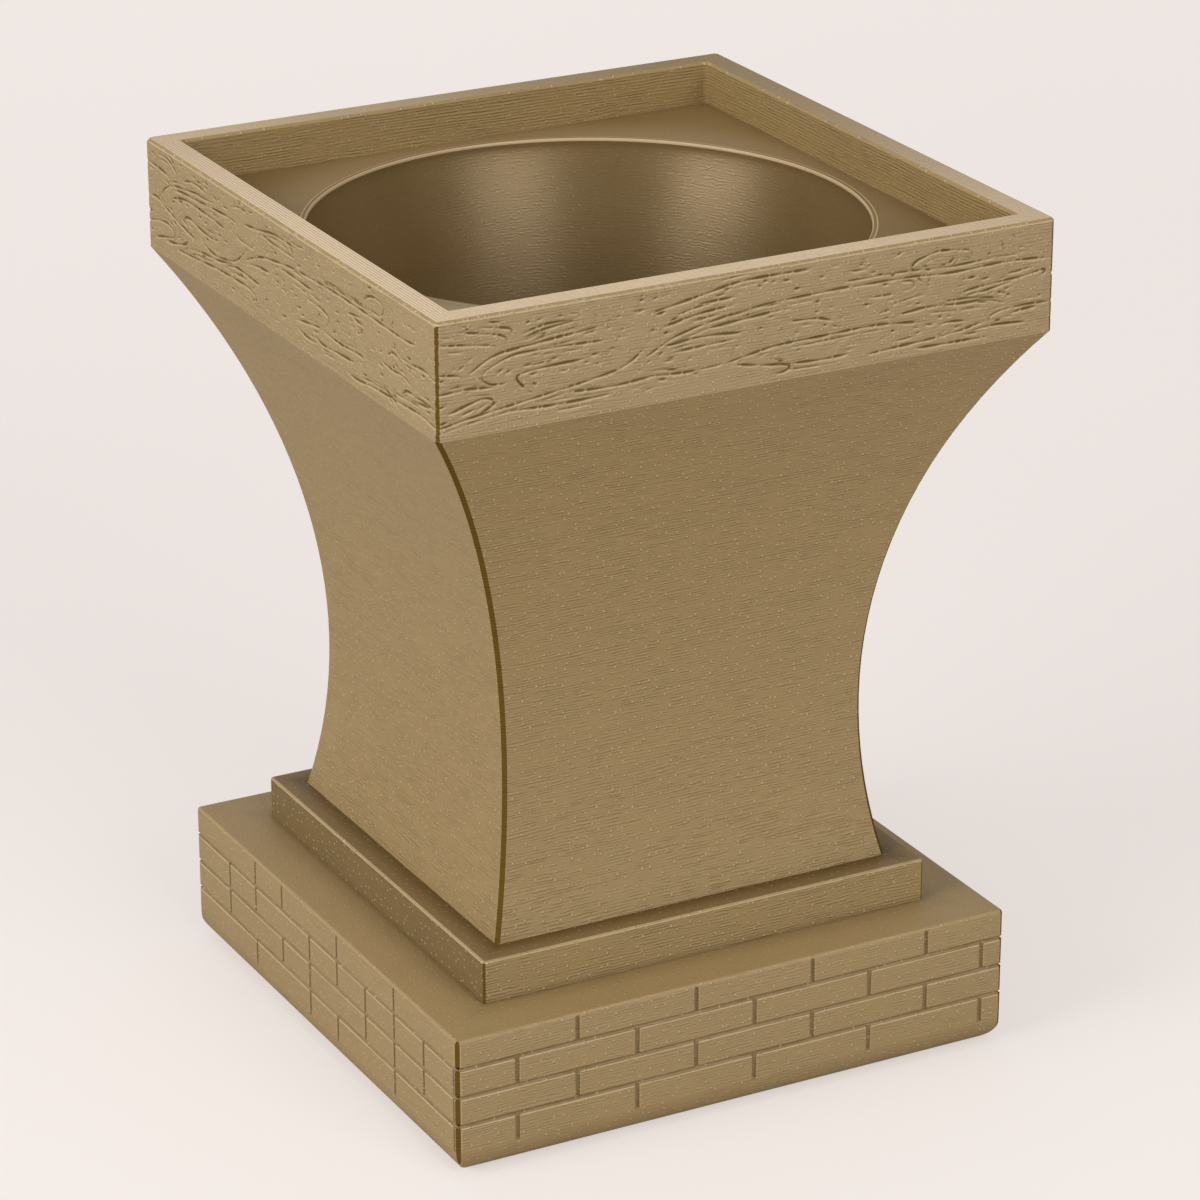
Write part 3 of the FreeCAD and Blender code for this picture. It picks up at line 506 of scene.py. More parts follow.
def level_share(material):
    """1 on level faces, 0 on upright and sloping ones."""
    upward = axes_of(material, facing(material))["Z"]
    return stepped(material, calculate(material, "ABSOLUTE", upward), *LEVEL_FACE)


def waves(material, across, pitch):
    turns = times(material, across, 2 * math.pi / pitch)
    return calculate(material, "SINE", turns)


def blend_number(material, share, first, second):
    """Between two numbers, by a share from 0 to 1."""
    return add_node(material, "Mix", {"Factor": share, 2: first, 3: second},
                    data_type="FLOAT").outputs[0]


def layer_lines(material, place, level, level_lines, curl):
    """Broken level lines on upright faces, and lines along the edges of level ones."""
    axes = axes_of(material, place)
    warp = noise(material, stretched(material, place, WARP_STRETCH), 1.0, 3.0)
    height = times_plus(material, warp, LINE_WARP, axes["Z"])
    height = times_plus(material, noise(material, place, CURL_SCALE, 1.0), curl, height)
    strokes = noise(material, stretched(material, place, STROKE_STRETCH), 1.0)
    faded = noise(material, stretched(material, place, FADED_STRETCH), 1.0)
    depth = times(material, stepped(material, strokes, *STROKE_EDGE),
                  stepped(material, faded, *FADED_LINES))
    upright = times(material, waves(material, height, LAYER_PITCH), depth)
    outward = calculate(material, "MAXIMUM", calculate(material, "ABSOLUTE", axes["X"]),
                        calculate(material, "ABSOLUTE", axes["Y"]))
    along = times(material, waves(material, outward, RIM_LINE_PITCH), level_lines)
    return blend_number(material, level, upright, along)


def print_dots(material, place, level, spacing):
    """Small raised specks all over the faces: 1 at a speck's middle, 0 away from it."""
    axes = axes_of(material, place)
    sideways = axes_of(material, facing(material))["X"]
    side = stepped(material, calculate(material, "ABSOLUTE", sideways), *SIDE_FACE)
    across = blend_number(material, side, axes["X"], axes["Y"])
    up = blend_number(material, level, axes["Z"], axes["Y"])
    on_face = add_node(material, "CombineXYZ", {0: across, 1: up}).outputs[0]
    inputs = {"Vector": on_face, "Scale": 1 / spacing, "Randomness": DOT_SCATTER}
    distance = add_node(material, "TexVoronoi", inputs, voronoi_dimensions="2D").outputs["Distance"]
    share = DOT_RADIUS / spacing
    dots = opposite(material, stepped(material, distance, share * DOT_CORE, share))
    return times(material, dots, blend_number(material, level, 1.0, LEVEL_DOTS))


def chamfer_bands(material, place):
    """Where the narrow chamfers are: upright ones at the corners, and level ones on top."""
    normal = facing(material)
    axes = axes_of(material, normal)
    flat_place = stretched(material, place, (1, 1, 0))
    outward = stepped(material, measure(material, "DOT_PRODUCT", normal, flat_place), 0.0, 1.0)
    diagonal = calculate(material, "ABSOLUTE", times(material, axes["X"], axes["Y"]))
    upright = times(material, stepped(material, diagonal, *CORNER_FACE), outward)
    tilt = calculate(material, "ABSOLUTE", calculate(material, "SUBTRACT", axes["Z"], CHAMFER_UPWARD))
    top = opposite(material, stepped(material, tilt, *CHAMFER_SPREAD))
    return upright, times(material, top, outward)


def scaled(material, colour, factor):
    return add_node(material, "VectorMath", {0: colour, "Scale": factor}, operation="SCALE").outputs[0]


def tinted(material, colour, share, tint):
    """A colour multiplied by a tint where a share says."""
    kept = blend_colour(material, share, (1, 1, 1), tint)
    return add_node(material, "VectorMath", {0: colour, 1: kept}, operation="MULTIPLY").outputs[0]


def inset_and_beside(material, place, half):
    """How far a place of a square piece lies in from its faces, and from its corners."""
    axes = axes_of(material, place)
    sides = [calculate(material, "ABSOLUTE", axes[name]) for name in ("X", "Y")]
    reach, lesser = calculate(material, "MAXIMUM", *sides), calculate(material, "MINIMUM", *sides)
    return calculate(material, "SUBTRACT", half, reach), calculate(material, "SUBTRACT", half, lesser)


def height_of(material, vector):
    return axes_of(material, vector)["Z"]


def mixed_in(material, colour, share, strength, second):
    """A colour with so much of a second one mixed in where a share says."""
    return blend_colour(material, times(material, share, strength), colour, second)


# What the surface of each piece shows

def painted_edge_highlights(material, place, half, chamfer):
    """Thin painted highlight lines along both edges of a square piece's upper chamfer."""
    inset = inset_and_beside(material, place, half)[0]
    outer = band(material, inset, -EDGE_HIGHLIGHT_OUT, EDGE_HIGHLIGHT_IN, THIN_SOFT)
    inner = band(material, inset, chamfer - EDGE_HIGHLIGHT_IN, chamfer + EDGE_HIGHLIGHT_OUT, THIN_SOFT)
    lines = calculate(material, "ADD", outer, inner)
    return times(material, lines, chamfer_bands(material, place)[1])


def chamfered(material, place, level, colour):
    """Dark upright corner chamfers."""
    upright = chamfer_bands(material, place)[0]
    return blend_colour(material, upright, colour, DARK_AND_SHADE_BRONZE), upright


def stepped_plinth(material, place, level, colour):
    """The step's dark corners, painted highlights on its upper edge, and painted shade at its foot, bottom
    and left.
    """
    inset = inset_and_beside(material, place, STEP_HALF)[0]
    upright, top = chamfer_bands(material, place)
    # Painted shade on the top round the column's foot, along the bottom, and on the left face
    shade = times(material, stepped(material, inset, STEP_SHADE_START, STEP_HALF - FOOT_HALF), level)
    height = height_of(material, place)
    low = opposite(material, stepped(material, height, BASE_TOP, BASE_TOP + STEP_LOW_HEIGHT))
    leftward = measure(material, "DOT_PRODUCT", facing(material), (-1, 0, 0))
    left = stepped(material, leftward, *LEFT_FACE)
    colour = tinted(material, colour, left, STEP_LEFT_PAINTED_SHADE)
    colour = mixed_in(material, colour, shade, STEP_SHADE, DARK_AND_SHADE_BRONZE)
    colour = mixed_in(material, colour, low, STEP_LOW_SHADE, DARK_AND_SHADE_BRONZE)
    # Painted highlights on the upper chamfer and its edges
    colour = mixed_in(material, colour, top, STEP_CHAMFER_HIGHLIGHT, EDGE_HIGHLIGHT)
    lines = painted_edge_highlights(material, place, STEP_HALF, STEP_CHAMFER)
    colour = mixed_in(material, colour, lines, 1.0, EDGE_HIGHLIGHT)
    return blend_colour(material, upright, colour, DARK_AND_SHADE_BRONZE), upright


def bricks(material, place, level, colour):
    """Dark joints with painted highlit edges, dark corners, a painted highlit upper edge, and painted shade
    round the step.
    """
    inset, beside = inset_and_beside(material, place, BASE_HALF)
    top = chamfer_bands(material, place)[1]
    course = band(material, height_of(material, place), BASE_ROUND, BASE_TOP - BASE_CHAMFER, SOFT)
    course = times(material, course, opposite(material, level))
    joint = times(material, stepped(material, inset, *JOINT_DARK), course)
    ease = times(material, band(material, inset, *JOINT_HIGHLIGHT_LINE, JOINT_HIGHLIGHT_SOFT), course)
    corner = opposite(material, stepped(material, beside, BASE_CHAMFER - SOFT, BASE_CHAMFER))
    corner = times(material, corner, opposite(material, level))
    ease = times(material, ease, opposite(material, corner))
    ledge = BASE_HALF - STEP_HALF
    # Painted shade on the top round the step, darkest where it meets it
    shade = times(material, stepped(material, inset, BASE_SHADE_START, ledge), level)
    contact = times(material, stepped(material, inset, ledge - CONTACT_WIDTH, ledge), level)

    colour = mixed_in(material, colour, shade, BASE_SHADE, DARK_AND_SHADE_BRONZE)
    colour = mixed_in(material, colour, contact, CONTACT_SHADE, DARK_AND_SHADE_BRONZE)
    colour = mixed_in(material, colour, joint, JOINT_SHARE, DARK_AND_SHADE_BRONZE)
    # Painted highlights on the joints' edges and the upper chamfer
    edges = times_plus(material, top, UPPER_EDGE_HIGHLIGHT, ease)
    colour = mixed_in(material, colour, edges, EDGE_HIGHLIGHT_SHARE, EDGE_HIGHLIGHT)
    lines = painted_edge_highlights(material, place, BASE_HALF, BASE_CHAMFER)
    colour = mixed_in(material, colour, lines, BASE_HIGHLIGHT_LINE_SHARE, SPECK_AND_HIGHLIGHT_BRONZE)
    return blend_colour(material, corner, colour, DARK_AND_SHADE_BRONZE), corner


def decked(material, place, level, colour):
    """The shelf, with painted light round the mouth and in its near corner, and painted shade in its right
    one.
    """
    radius = measure(material, "LENGTH", stretched(material, place, (1, 1, 0)))
    mouth_painted_light = opposite(material, stepped(material, radius, POT_RIM, POT_RIM + MOUTH_LIGHT))
    nearness = measure(material, "DOT_PRODUCT", place, (-1, -1, 0))
    near_corner_light = stepped(material, nearness, *NEAR_CORNER)
    rightness = measure(material, "DOT_PRODUCT", place, (1, -1, 0))
    right_corner_shade = stepped(material, rightness, *RIGHT_CORNER)
    # Painted light round the mouth and in the near corner, and painted shade in the right corner
    colour = blend_colour(material, mouth_painted_light, colour, SHELF_PAINTED_LIGHT)
    colour = mixed_in(material, colour, right_corner_shade, RIGHT_CORNER_SHADE, DARK_AND_SHADE_BRONZE)
    return blend_colour(material, near_corner_light, colour, SHELF_NEAR_PAINTED_LIGHT), None


def carved(material, place, level, colour):
    """Painted shade in the grooves, on the inner walls and the far rim; painted highlit lips and edge
    lines; dark corners.
    """
    inset, beside = inset_and_beside(material, place, COLLAR_HALF)
    height = height_of(material, place)
    down = calculate(material, "SUBTRACT", COLLAR_TOP, height)
    upward = height_of(material, add_node(material, "NewGeometry").outputs["Normal"])
    upright = opposite(material, level)
    outside = opposite(material, stepped(material, inset, COLLAR_CHAMFER, COLLAR_CHAMFER + SOFT))
    below_rim = stepped(material, down, RIM_CHAMFER, RIM_CHAMFER + SOFT)
    face = times(material, times(material, outside, below_rim), upright)
    # Painted shade in the grooves, and painted highlights on their lower lips
    groove_shade = times(material, stepped(material, inset, *GROOVE_SHADE_DEPTHS), face)
    lip_highlight = times(material, stepped(material, upward, *LIP_TILT), face)
    ragged = times_plus(material, noise(material, place, RAGGED_SCALE), CORNER_RAGGED, beside)
    corner = opposite(material, stepped(material, ragged, COLLAR_CHAMFER, COLLAR_CHAMFER + CORNER_SOFT))
    corner = times(material, corner, face)
    dark = calculate(material, "MAXIMUM", times(material, groove_shade, GROOVE_SHADE_SHARE), corner)
    walls = times(material, stepped(material, inset, RIM_WIDTH - SOFT, RIM_WIDTH), upright)
    dull = calculate(material, "MAXIMUM", dark, times(material, walls, WALL_DULL))

    # Painted shade: the rim's top darkens towards the back
    farness = measure(material, "DOT_PRODUCT", place, (1, 1, 0))
    far_rim_shade = times(material, level, stepped(material, farness, -COLLAR_HALF, 2 * COLLAR_HALF))
    colour = blend_colour(material, far_rim_shade, colour, RIM_FAR_SHADE_BRONZE)
    colour = scaled(material, colour, wall_lines(material, place, height, walls))
    # Painted shade on the inner walls
    colour = tinted(material, colour, walls, WALL_PAINTED_SHADE)
    colour = mixed_in(material, colour, lip_highlight, LIP_HIGHLIGHT_SHARE, SPECK_AND_HIGHLIGHT_BRONZE)
    colour = blend_colour(material, dark, colour, DARK_AND_SHADE_BRONZE)
    # Painted golden sheen and highlight lines with glints along the rim's edges
    gold_sheen, light = rim_lines(material, place, inset, down, outside)
    colour = blend_colour(material, gold_sheen, colour, EDGE_GOLD_SHEEN)
    return mixed_in(material, colour, light, HIGHLIGHT_SHARE, SPECK_AND_HIGHLIGHT_BRONZE), dull


def rim_lines(material, place, inset, down, outside):
    """Where the painted golden sheen lines along both edges of the collar's rim are, and the outer painted
    highlight line with its glints.
    """
    outer = times(material, band(material, down, *GOLD_SHEEN_LINE, GOLD_SHEEN_SOFT), outside)
    inner = band(material, inset, RIM_WIDTH - RIM_CHAMFER, RIM_WIDTH, THIN_SOFT)
    near_top = opposite(material, stepped(material, down, RIM_CHAMFER, RIM_CHAMFER + SOFT))
    inner = times(material, times(material, inner, near_top), INNER_SHEEN_SHARE)
    flat_place = stretched(material, place, (1, 1, 0))
    ticks = stepped(material, noise(material, flat_place, GLINT_SCALE, 1.0), *GLINT_EDGE)
    ticks = times(material, ticks, band(material, down, *GLINT_LINE, THIN_SOFT))
    # Painted glints along the outer edge
    light = calculate(material, "MAXIMUM", band(material, down, *HIGHLIGHT_LINE, HIGHLIGHT_SOFT), ticks)
    return calculate(material, "MAXIMUM", outer, inner), times(material, light, outside)


def wall_lines(material, place, height, walls):
    """The brightness of the collar's inner walls, with wavy layer lines."""
    warp = noise(material, stretched(material, place, WALL_STRETCH), 1.0, 3.0)
    wavy = waves(material, times_plus(material, warp, WALL_WARP, height), WALL_PITCH)
    lined = times_plus(material, wavy, WALL_LINE_TONE, 1.0)
    return blend_number(material, walls, 1.0, lined)


def mouth_ringed(material, place, level, colour):
    """The pot's rim top darkened with painted shade, with two thin painted highlight lines at its mouth."""
    radius = measure(material, "LENGTH", stretched(material, place, (1, 1, 0)))
    top_start = POT_TOP - MOUTH_DEPTH
    near_top = stepped(material, height_of(material, place), top_start, top_start + SOFT)
    mouth = POT_RIM - POT_WALL
    rings = calculate(material, "ADD", *[band(material, radius, mouth + start, mouth + end, RING_SOFT)
                                         for start, end in MOUTH_HIGHLIGHT_RINGS])
    # Painted shade on the rim's top, with painted highlight rings at the mouth
    rim = blend_colour(material, near_top, colour, SHELF_SHADE_BRONZE)
    rim = mixed_in(material, rim, times(material, rings, near_top), RING_HIGHLIGHT_SHARE, RIM_HIGHLIGHT_BRONZE)
    return rim, times(material, near_top, MOUTH_DULL)


# Materials

def new_material(name):
    """A fresh material with its surface shader."""
    material = bpy.data.materials.new(name)
    material.use_nodes = True
    return material, material.node_tree.nodes["Principled BSDF"]


def feed(surface, name, source):
    """Link a node's output to an input of the surface shader."""
    surface.id_data.links.new(source, surface.inputs[name])


def printed_material(name, colours, detail, roughness=0.5, shine=0.5, line_height=0.06,
                     line_tone=0.09, level_lines=0.0, curl=0.3, spacing=2.3, speck=1.0):
    """Khaki bronze filament: layer lines, patchy tone and specks, with a piece's own detail."""
    material, surface = new_material(name)
    place = place_in_mm(material)
    level = level_share(material)
    lines = layer_lines(material, place, level, level_lines, curl)
    dots = print_dots(material, place, level, spacing)
    patches = noise(material, stretched(material, place, PATCH_STRETCH), *PATCH_NOISE)
    grit = noise(material, place, *GRIT_NOISE)

    tone = times_plus(material, patches, PATCH_TONE, 1 - (PATCH_TONE + GRIT_TONE) / 2)
    tone = times_plus(material, grit, GRIT_TONE, tone)
    tone = times_plus(material, lines, line_tone, tone)
    # Level faces take the second colour: painted light on the base's top and the collar's rim, painted
    # shade on the step's top
    toned = scaled(material, blend_colour(material, level, *colours), tone)
    detailed, dark = detail(material, place, level, toned)
    if dark is not None:
        dots = times(material, dots, opposite(material, dark))
    final = mixed_in(material, detailed, dots, DOT_SHARE * speck, SPECK_AND_HIGHLIGHT_BRONZE)

    relief = times(material, lines, line_height)
    relief = times_plus(material, dots, DOT_HEIGHT * speck, relief)
    relief = times_plus(material, grit, GRIT_HEIGHT * speck, relief)
    bump = add_node(material, "Bump", {"Height": relief, "Distance": MM, "Strength": 1.0})
    feed(surface, "Base Color", final)
    feed(surface, "Normal", bump.outputs["Normal"])
    rough = times_plus(material, patches, ROUGHNESS_SPREAD, roughness - ROUGHNESS_SPREAD / 2)
    feed(surface, "Roughness", rough)
    surface.inputs["Specular IOR Level"].default_value = shine
    if dark is not None:
        feed(surface, "Specular IOR Level", times(material, opposite(material, dark), shine))
    return material


def metal_material(name, colour, roughness):
    """Turned metal with fine rings and light wear."""
    material, surface = new_material(name)
    place = place_in_mm(material)
    rings = noise(material, stretched(material, place, METAL_STRETCH), 1.0, 2.0)
    wear = noise(material, place, METAL_WEAR_SCALE, 3.0)
    toned = scaled(material, colour, times_plus(material, wear, *METAL_TONE))
    bump = add_node(material, "Bump", {"Height": rings, "Distance": METAL_RING_HEIGHT * MM})
    feed(surface, "Base Color", toned)
    feed(surface, "Normal", bump.outputs["Normal"])
    rough = times_plus(material, wear, METAL_SPREAD, roughness)
    feed(surface, "Roughness", rough)
    surface.inputs["Metallic"].default_value = 1.0
    return material


def column_material():
    """The bronze of the column and of the drain sleeve inside it."""
    return printed_material("bronze_print", (BRONZE, BRONZE), chamfered, line_tone=0.12)


def brick_material():
    """The base's bronze, with painted light on top."""
    return printed_material("brick_print", (BRONZE, BASE_TOP_LIGHT_BRONZE), bricks, line_height=0.05)


def step_material():
    """The step's bronze, with painted shade on top."""
    return printed_material("step_print", (STEP_BRONZE, STEP_TOP_SHADE_BRONZE), stepped_plinth, shine=0.4,
                            line_tone=0.12)


def collar_material():
    """The collar's bronze, with painted light on its rim's top."""
    return printed_material("grained_print", (COLLAR_BRONZE, RIM_HIGHLIGHT_BRONZE), carved, shine=0.6,
                            line_tone=0.12, level_lines=0.6, spacing=2.0)


def shelf_material():
    """The shelf's smoother, duller bronze, darkened with painted shade."""
    return printed_material("shelf_print", (SHELF_SHADE_BRONZE, SHELF_SHADE_BRONZE), decked, roughness=0.6, shine=0.25,
                            line_height=0.02, line_tone=0.03, speck=0.5)


def pot_material():
    """The pot's smooth bronze, darkened with painted shade, with a warm gloss."""
    material = printed_material("pot_print", (POT_SHADE_BRONZE, POT_SHADE_BRONZE), mouth_ringed, roughness=0.34,
                                shine=1.0, line_height=0.005, line_tone=0.03, curl=0.8, speck=0.07)
    surface = material.node_tree.nodes["Principled BSDF"]
    surface.inputs["Specular Tint"].default_value = (*POT_SHINE, 1)
    surface.inputs["IOR"].default_value = POT_IOR
    return material


def ease_joints(node):
    """Small bevels along the base's edges and its brick joints, on faces made whole first."""
    weld = node.modifiers.new("joint_weld", "WELD")
    weld.merge_threshold = WELD_DISTANCE * MM
    whole = node.modifiers.new("whole_faces", "DECIMATE")
    whole.decimate_type = "DISSOLVE"
    whole.angle_limit = math.radians(FLAT_ANGLE)
    bevel = node.modifiers.new("joint_ease", "BEVEL")
    bevel.width = JOINT_EASE * MM
    bevel.segments = 1
    bevel.use_clamp_overlap = False
    bevel.limit_method = "ANGLE"
    bevel.angle_limit = math.radians(EASED_ANGLE)
    split = node.modifiers.new("sharp_edges", "EDGE_SPLIT")
    split.split_angle = math.radians(SHARP_ANGLE)
    node.modifiers.new("flat_faces", "WEIGHTED_NORMAL")


def add_object(name, data):
    """A new object in the scene."""
    made = bpy.data.objects.new(name, data)
    bpy.context.scene.collection.objects.link(made)
    return made


def dress(node, material):
    node.data.materials.clear()
    node.data.materials.append(material)


# The collar's wood grain

def smooth_path(places):
    """Evenly spaced places along a smooth curve through a line's places."""
    points = np.array(places, float)
    if len(points) == 2:
        points = np.insert(points, 1, points.mean(axis=0), axis=0)
    ends = np.vstack([2 * points[0] - points[1], points, 2 * points[-1] - points[-2]])
    share = np.linspace(0, 1, CURVE_STEPS, endpoint=False)[:, None]
    spans = []
    for before, start, end, after in zip(ends, ends[1:], ends[2:], ends[3:]):
        spans.append(0.5 * (2 * start + (end - before) * share
                            + (2 * before - 5 * start + 4 * end - after) * share ** 2
                            + (3 * start - before - 3 * end + after) * share ** 3))
    curve = np.vstack(spans + [ends[-2][None]])
    lengths = np.concatenate([[0], np.cumsum(np.linalg.norm(np.diff(curve, axis=0), axis=1))])
    steps = np.arange(0, lengths[-1], GRAIN_STEP)
    return np.column_stack([np.interp(steps, lengths, curve[:, axis]) for axis in (0, 1)])


def groove_depths(path, depth, chance):
    """The depth along a line: tapered at its ends, uneven, and broken in places."""
    along = np.arange(len(path)) * GRAIN_STEP
    length = max(along[-1], GRAIN_STEP)
    taper = np.minimum(1, np.minimum(along, length - along) / min(GRAIN_TAPER, length / 2))
    depths = depth * np.sqrt(taper)
    swing = np.sin(along * chance.uniform(*SWING_PACE) + chance.uniform(*SWING_START))
    depths *= 1 - DEPTH_SWING + DEPTH_SWING * swing
    for _ in range(int(length / BREAK_SPACING + chance.random())):
        gap = chance.uniform(0, length)
        depths *= 1 - BREAK_SHARE * np.exp(-((along - gap) / BREAK_WIDTH) ** 2)
    return depths


def offset_path(path, distance):
    """A path moved sideways."""
    way = np.gradient(path, axis=0)
    way /= np.maximum(np.linalg.norm(way, axis=1), TINY)[:, None]
    return path + distance * np.column_stack([-way[:, 1], way[:, 0]])


def echoes(path, chance):
    """Shorter, shallower lines beside a main one, as grain lines come in bundles."""
    lines = []
    for _ in range(2 if len(path) * GRAIN_STEP > LONG_LINE else 1):
        span = chance.uniform(*ECHO_SPAN)
        start = chance.uniform(0, 1 - span)
        first, last = int(start * len(path)), int((start + span) * len(path))
        side = chance.choice((-1, 1)) * chance.uniform(*ECHO_DISTANCE)
        if last - first > ECHO_POINTS:
            lines.append(offset_path(path, side)[first:last])
    return lines


def pores(paths, chance, count):
    """Short ticks that follow the grain line nearest to them."""
    places = np.vstack(paths)
    ways = np.vstack([np.gradient(path, axis=0) for path in paths])
    ticks = []
    for _ in range(count):
        middle = np.array([chance.uniform(-PORE_REACH, PORE_REACH), chance.uniform(*PORE_BAND)])
        distances = np.linalg.norm((places - middle) * PORE_STRETCH, axis=1)
        nearest = distances.argmin()
        way = ways[nearest] / max(np.linalg.norm(ways[nearest]), TINY)
        half = way * chance.uniform(*PORE_LENGTH) / 2
        if distances[nearest] > PORE_CLEARANCE:
            ticks.append(smooth_path([middle - half, middle + half]))
    return ticks


def face_lines(grain, seed):
    """All the grooves of one face, as places and depths."""
    chance = random.Random(seed)
    main = [smooth_path(places) for places in grain]
    places, depths = [], []
    for path in main:
        places.append(path)
        depths.append(groove_depths(path, GRAIN_DEPTH * chance.uniform(*MAIN_DEPTHS), chance))
        for line in echoes(path, chance):
            places.append(line)
            depths.append(groove_depths(line, GRAIN_DEPTH * chance.uniform(*ECHO_DEPTHS), chance))
    for tick in pores(main, chance, PORES):
        places.append(tick)
        depths.append(groove_depths(tick, GRAIN_DEPTH * chance.uniform(*PORE_DEPTHS), chance))
    return np.vstack(places), np.concatenate(depths)


def carve(relief, across, up, places, depths):
    """Deepen a grid of the face along its grooves, each a soft-sided channel."""
    column_step, row_step = across[1] - across[0], up[1] - up[0]
    reach = [int(math.ceil(GRAIN_REACH / step)) for step in (column_step, row_step)]
    columns = np.rint((places[:, 0] - across[0]) / column_step).astype(int)
    rows = np.rint((places[:, 1] - up[0]) / row_step).astype(int)
    for row_shift in range(-reach[1], reach[1] + 1):
        for column_shift in range(-reach[0], reach[0] + 1):
            row, column = rows + row_shift, columns + column_shift
            inside = (row >= 0) & (row < len(up)) & (column >= 0) & (column < len(across))
            row, column = row[inside], column[inside]
            far = np.hypot(across[column] - places[inside, 0], up[row] - places[inside, 1])
            profile = ((1 - SHOULDER_SHARE) * np.exp(-(far / GRAIN_WIDTH) ** 2)
                       + SHOULDER_SHARE * np.exp(-(far / GRAIN_SHOULDER) ** 2))
            np.maximum.at(relief, (row, column), depths[inside] * profile)


def face_relief(grain, seed, across, up):
    """How deep each place of a face is cut."""
    relief = np.zeros((len(up), len(across)))
    places, depths = face_lines(grain, seed)
    kept = places[:, 1] > PLAIN_BAND
    carve(relief, across, up, places[kept], depths[kept])
    edge = np.minimum(up - up[0], up[-1] - up)
    return relief * np.minimum(1, edge / EDGE_FADE)[:, None]


def band_columns(half, flat):
    """Places round the collar's outside with their outward directions, and face columns."""
    count = int(round(2 * flat / GRAIN_COLUMN))
    across = np.linspace(-flat, flat, count + 1)
    turns = [np.array(turn) for turn in ((1, 0), (0, 1), (-1, 0), (0, -1))]
    places, ways = [], []
    for along in turns:
        outward = np.array([along[1], -along[0]])
        corner = np.linspace(0, 1, CORNER_COLUMNS + 1)[1:-1, None]
        start, end = along * flat + outward * half, along * half + outward * flat
        diagonal = (along + outward) / math.sqrt(2)
        places += [across[:, None] * along + half * outward, start + corner * (end - start)]
        ways += [np.tile(outward, (count + 1, 1)), np.tile(diagonal, (CORNER_COLUMNS - 1, 1))]
    return across, np.vstack(places), np.vstack(ways)


def mirrored(grain):
    """A face's grain lines, left for right."""
    return [[(-across, up) for across, up in line] for line in grain]


def carved_band(half, low, high):
    """The collar's outside as one carved sheet that runs round all four faces, in mm."""
    flat = half - COLLAR_CHAMFER
    across, places, ways = band_columns(half, flat)
    up = np.linspace(0, high - low, int(round((high - low) / GRAIN_ROW)) + 1)
    faces = [FRONT_GRAIN, mirrored(LEFT_GRAIN), mirrored(FRONT_GRAIN), LEFT_GRAIN]
    reliefs = [face_relief(grain, seed, across, up) for seed, grain in enumerate(faces)]
    blocks = []
    for index, relief in enumerate(reliefs):
        following = reliefs[(index + 1) % len(reliefs)]
        corner = np.maximum(relief[:, -1:], following[:, :1])
        blocks += [relief, np.repeat(corner, CORNER_COLUMNS - 1, axis=1)]
    depth = np.hstack(blocks)
    flats = places[None] - depth[:, :, None] * ways[None]
    heights = np.broadcast_to((low + up)[:, None, None], depth.shape + (1,))
    points = np.concatenate([flats, heights], axis=2).reshape(-1, 3)
    rows, columns = depth.shape
    index = np.arange(rows * columns).reshape(rows, columns)
    beside = np.roll(index, -1, axis=1)
    quads = np.stack([index[:-1], beside[:-1], beside[1:], index[1:]], axis=-1)
    return points * MM, quads.reshape(-1, 4), places * MM


def grid_mesh(name, points, quads):
    mesh = bpy.data.meshes.new(name)
    mesh.from_pydata(points.tolist(), [], quads.tolist())
    return mesh


def split_rim(shell, ring, height):
    """Give a straight-sided loop of the shell at a height the same points as the band's ring."""
    ring_points = [Vector((x, y, height)) for x, y in ring]
    loop = [edge for edge in shell.edges if edge.is_boundary
            and all(abs(vertex.co.z - height) < 10 * CLOSE for vertex in edge.verts)]
    for edge in loop:
        start, end = edge.verts
        way = end.co - start.co
        inside = []
        for point in ring_points:
            share = (point - start.co).dot(way) / way.length_squared
            beside = (point - start.co - way * share).length
            if beside < CLOSE and EDGE_ENDS < share < 1 - EDGE_ENDS:
                inside.append((share, point))
        remaining, last = edge, start
        for _, point in sorted(inside, key=lambda item: item[0]):
            share = (point - last.co).length / (end.co - last.co).length
            remaining, last = bmesh.utils.edge_split(remaining, last, share)
            last.co = point
            remaining = next(side for side in last.link_edges if end in side.verts)


def make_collar(node, material):
    """The collar, with its outer faces carved; the rest is the CAD collar's own shape."""
    low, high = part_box("collar_frame")
    half = high.x
    shell = bmesh.new()
    shell.from_mesh(node.data)
    bmesh.ops.remove_doubles(shell, verts=shell.verts, dist=CLOSE)
    outside = [face for face in shell.faces if abs(face.normal.z) < UPRIGHT_FACE
               and max(abs(face.calc_center_median().x), abs(face.calc_center_median().y))
               > half - COLLAR_CHAMFER * MM]
    bmesh.ops.delete(shell, geom=outside, context="FACES")
    band_low, band_high = low.z, high.z - RIM_CHAMFER * MM
    points, quads, ring = carved_band(half / MM, band_low / MM, band_high / MM)
    split_rim(shell, ring, band_low)
    split_rim(shell, ring, band_high)
    band = grid_mesh("grain_band", points, quads)
    shell.from_mesh(band)
    seam = [vertex for vertex in shell.verts
            if min(abs(vertex.co.z - band_low), abs(vertex.co.z - band_high)) < CLOSE]
    bmesh.ops.remove_doubles(shell, verts=seam, dist=2 * CLOSE)
    mesh = bpy.data.meshes.new("carved_collar")
    shell.to_mesh(mesh)
    shell.free()
    bpy.data.meshes.remove(band)
    collar = add_object("carved_collar", mesh)
    mesh.materials.append(material)
    smooth_band(mesh, band_low, band_high, half)
    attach(collar, "planter")
    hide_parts("collar_frame")


def smooth_band(mesh, low, high, half):
    """Shade only the carved sheet as one smooth surface."""
    for polygon in mesh.polygons:
        middle = polygon.center
        polygon.use_smooth = (len(polygon.vertices) == 4 and low < middle.z < high
                              and max(abs(middle.x), abs(middle.y)) > half - MM)


# The pot

